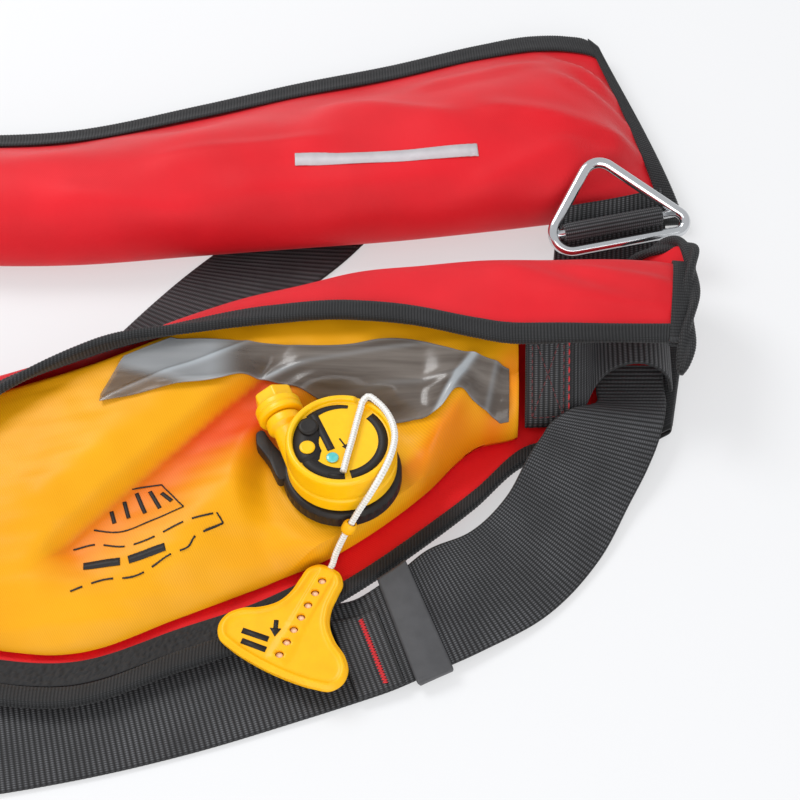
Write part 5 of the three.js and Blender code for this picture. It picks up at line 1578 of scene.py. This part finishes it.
# %% Ring
RING_LEFT, RING_RIGHT, RING_TOP = np.array([[66.5, 84.9, 22], [147.5, 102.5, 24.5], [94.3, 129.7, 47]])
RING_WIRE, RING_CORNERS, BAR_AT, BAR_RADIUS = 5.4, (9.0, 5.0, 9.0), 9.5, 2.1
RING_STEPS, RING_SIDES = 240, 28
ring_along = unit(RING_RIGHT - RING_LEFT)
ring_face = unit(np.cross(ring_along, RING_TOP - RING_LEFT))
ring_up = np.cross(ring_face, ring_along)
tips = np.array([RING_LEFT, RING_RIGHT, RING_TOP]) - RING_LEFT
tips = np.stack([tips @ ring_along, tips @ ring_up], axis=1)


def ring_place(flat):
    """Points of the ring's own plane in the frame."""
    return RING_LEFT + flat[:, :1] * ring_along + flat[:, 1:2] * ring_up


def corner_arc(k, count=17):
    """Arc of the ring's corner radius that touches both sides of one corner."""
    before, after = (unit(tips[(k + j) % 3] - tips[k]) for j in (2, 1))
    half = np.arccos(before @ after) / 2
    middle = tips[k] + unit(before + after) * RING_CORNERS[k] / np.sin(half)
    start = tips[k] + before * RING_CORNERS[k] / np.tan(half) - middle
    turn = np.linspace(0, np.pi - 2 * half, count)
    quarter = np.array([-start[1], start[0]])
    return middle + start * np.cos(turn)[:, None] + quarter * np.sin(turn)[:, None]


flat = np.concatenate([corner_arc(k) for k in range(3)])
flat_loop = np.vstack([flat, flat[:1]])
run = path_length(flat_loop)
at = np.linspace(0, run[-1], RING_STEPS, endpoint=False)
flat = np.stack([np.interp(at, run, flat_loop[:, k]) for k in (0, 1)], axis=1)
way = unit(np.roll(flat, -1, axis=0) - np.roll(flat, 1, axis=0))
angle = np.linspace(0, 2 * np.pi, RING_SIDES, endpoint=False)
outwards = np.stack([-way[:, 1], way[:, 0]], axis=1)
side = outwards[:, :1] * ring_along + outwards[:, 1:] * ring_up
wire = ring_place(flat)[:, None] + RING_WIRE / 2 * (
    side[:, None] * np.cos(angle)[None, :, None] + ring_face * np.sin(angle)[None, :, None]
)
steel_ring = surface("steel_ring", wire, loop_rows=True, ladder=False)
dress(steel_ring, STEEL, "steel", "lifting_ring", body="ring")

# %% [markdown]
# The bar goes from wire to wire at a height above the lower one. Its left end stops short, because the
# wire is already in its corner arc there.

# %% Ring bar
BAR_SHORT = 2.3
bar_left, bar_right = mix(tips[:2, 0], tips[2, 0], BAR_AT / tips[2, 1])
bar_left += BAR_SHORT
bar_ends = ring_place(np.array([[bar_left, BAR_AT], [bar_right, BAR_AT]]))
bar_length = np.linalg.norm(bar_ends[1] - bar_ends[0])
bar_line = np.array([[0, 0], [BAR_RADIUS, 0], [BAR_RADIUS, bar_length], [0, bar_length]])
dress(turned("steel_bar", bar_line, 36, bar_ends[0], ring_along), STEEL, "steel", body="ring")

# %% [markdown]
# The sleeve is webbing folded round the bar and sewn down to the strap. It is a thick-walled tube with
# ribs along it, on a short stem that ends on the strap.

# %% Sleeve
SLEEVE_WIDTH, SLEEVE_INNER, SLEEVE_WALL, SLEEVE_RIBS, SLEEVE_OFF = 49.0, 2.6, 1.75, 15, 1.6
SLEEVE_STEPS, SLEEVE_SIDES = 60, 150
sleeve_middle = (bar_left + bar_right) / 2 - SLEEVE_OFF
run = np.linspace(0, SLEEVE_WIDTH, SLEEVE_STEPS)
round_end = 0.5 * np.exp(-np.minimum(run, SLEEVE_WIDTH - run) / 0.6)
skin = np.stack([SLEEVE_INNER + SLEEVE_WALL - round_end, run], axis=1)
lining = np.stack([np.full(SLEEVE_STEPS, SLEEVE_INNER), run], axis=1)


def lengthwise_ribs(angle, radius, height):
    """Ribs along the sleeve: the outer radius swells with a cosine of the angle."""
    swell = 0.3 * (0.5 * np.cos(SLEEVE_RIBS * angle) + 0.1)
    return radius + swell * (radius > SLEEVE_INNER + 0.5), height


sleeve_at = ring_place(np.array([[sleeve_middle - SLEEVE_WIDTH / 2, BAR_AT]]))[0]
round_crest = ribs(np.linspace(0, SLEEVE_RIBS, SLEEVE_SIDES, endpoint=False), 1.0)[:, None]
sleeve = turned(
    "sleeve_webbing", np.concatenate([skin, lining[::-1]]), SLEEVE_SIDES, sleeve_at, ring_along,
    closed=True, shape=lengthwise_ribs, crest=round_crest,
)
dress(sleeve, WEBBING, "black_webbing", "ring_sleeve")

# %% [markdown]
# The stem is a block with four corner lines: two just under the bar, and two wider ones on the strap.
# Its ribs make it a little wider and narrower along its length.

# %% Sleeve stem
STEM_TOP, STEM_FOOT, STEM_DROP, STEM_RIB = 2.0, 3.2, 0.8, 0.2
bar_run = sleeve_middle + run - SLEEVE_WIDTH / 2
middle = ring_place(np.column_stack([bar_run, np.full(SLEEVE_STEPS, BAR_AT)]))
strap = Strap(RING_STRAP, middle[:, 0] - RING_STRAP[0, 0])
across, up, crest = unit(strap.across), strap.up(), ribs(run, RIB_BELT)[:, None]
under_bar = np.full(SLEEVE_STEPS, -SLEEVE_INNER - STEM_DROP)
on_strap = BELT_HALF + 0.3 - np.sum((middle - strap.edge) * up, axis=1)
quarters = [(-STEM_TOP, under_bar), (STEM_TOP, under_bar), (STEM_FOOT, on_strap), (-STEM_FOOT, on_strap)]
wide = STEM_RIB * (crest - 0.5)
stem = [middle + across * (t + np.sign(t) * wide) + up * height[:, None] for t, height in quarters]
dress(surface("sleeve_stem", np.stack(stem, axis=1), crest=crest), WEBBING, "black_webbing")

# %% [markdown]
# ## The loose end of the tape
# Where the near lobe ends, the end tape is longer than the edge it binds. Its spare length stands up
# past the corner and curls back under the ring, twisted. It is a flat tube: its radius has two crests
# round the section, and those turn with the distance along it.

# %% Tape tail
TAIL_POINTS = np.array([
    [127, -3, 43], [129.8, 8, 46.5], [132.2, 22, 48.5], [134.2, 38, 50.2], [135.8, 54, 50.6],
    [136.4, 67, 48.4], [134.8, 74.5, 43.5], [130.6, 79.2, 38.5], [125, 81.6, 33.5], [118.5, 83, 26],
    [112.5, 83.5, 16],
])
TAIL_RADIUS, TAIL_FLAT, TAIL_TWIST, TAIL_TIP, TAIL_CLOSE = 2.9, 1.3, 30, 1.9, 1.2  # mm
tail_path = even_path(TAIL_POINTS, RIB_TAPE / 4)
tail_run = path_length(tail_path)


def twisted(run, angle):
    """Two crests round the section that turn once in 60 mm, ribs along it, and closed soft ends."""
    flat = TAIL_FLAT * np.cos(2 * angle - run * 2 * np.pi / TAIL_TWIST)
    soft = np.exp(-np.minimum(run, tail_run[-1] - run) / TAIL_CLOSE)
    return (flat + 0.3 * (ribs(run, RIB_TAPE) - 0.5)) * (1 - soft) - TAIL_TIP * soft


tape_tail = tube("tape_tail", tail_path, TAIL_RADIUS, 28, twisted, crest=ribs(tail_run, RIB_TAPE)[:, None])
dress(tape_tail, TAPE_WEAVE, "black_webbing")

# %% [markdown]
# The curl pulls a corner of the cover's cloth up with it. That corner is a small web between the tape
# and the end of the roll: straight threads from points on the tape to points on the roll, thickened
# by half a wall to each side.

# %% Pulled corner
ROLL_POINTS = np.array([[135.5, 61.0, 44.0], [113.0, 80.0, 15.0]])
CURL_STEP, CURL_LEFT = 6, 8  # every sixth point of the tape, without its last eight
curl_start = np.argmin(np.linalg.norm(tail_path - TAIL_POINTS[5], axis=1))
curl = tail_path[curl_start:-CURL_LEFT:CURL_STEP]
roll = mix(ROLL_POINTS[0], ROLL_POINTS[1], np.linspace(0, 1, len(curl))[:, None])
web = mix(roll[:, None], curl[:, None], np.linspace(0, 1, 12)[None, :, None])
facing = WALL / 2 * unit(np.cross(np.gradient(web, axis=0), np.gradient(web, axis=1)))
corner = surface("cover_corner", there_and_back(web + facing, web - facing))
dress(corner, COVER_CLOTH, "cover_cloth")

# %% [markdown]
# ## Cord, cloth and padding
# The cord's length is its own path, all of which shows. The cover is one cloth, folded lengthwise, and
# the window one sheet of film. The bladder is padding: two layers, slackly full.


# %% [markdown]
# ## Table and light
# The photograph is a studio picture on white: an even, very soft light from above, a little stronger
# from the far left, and almost no shadow. A grey floor that glows keeps shadows pale, and a bright sky
# and two large lamps do the rest.

# %% Floor and light
FLOOR_HALF, FLOOR_LEVEL, FLOOR_GLOW, SKY_STRENGTH = 4000.0, -0.4, 0.52, 0.66
plan = FLOOR_HALF * np.array([[-1, -1], [1, -1], [1, 1], [-1, 1]])
floor = put_mesh("floor", np.column_stack([plan, np.full(4, FLOOR_LEVEL)]), np.array([[0, 1, 2, 3]]))
floor_paint, _, _ = start_finish(
    "pale_floor", "#a0a1a3", 0.9,
    Specular_IOR_Level=0.1, Emission_Color=linear("#ffffff"), Emission_Strength=FLOOR_GLOW,
)
floor.data.materials.append(floor_paint)
world = bpy.data.worlds.new("studio")
world.use_nodes = True
sky = world.node_tree.nodes["Background"]
plug(world.node_tree, sky, {"Color": linear("#fbfcff"), "Strength": SKY_STRENGTH})
scene.world = world


def lamp(name, place, target, size, watts):
    """A square soft lamp that faces a target."""
    light = bpy.data.lights.new(name, "AREA")
    light.shape, light.size, light.energy = "SQUARE", size, watts
    holder = bpy.data.objects.new(name, light)
    holder.location = place
    holder.rotation_mode = "QUATERNION"
    holder.rotation_quaternion = (Vector(target) - Vector(place)).to_track_quat("-Z", "Y")
    scene.collection.objects.link(holder)


lamp("key", (-0.6, 0.55, 1.1), (0.1, 0.0, 0.0), 0.6, 11.0)
lamp("fill", (0.2, -1.25, 0.75), (0.1, 0.05, 0.0), 1.2, 11.0)
scene.view_settings.view_transform = "Standard"
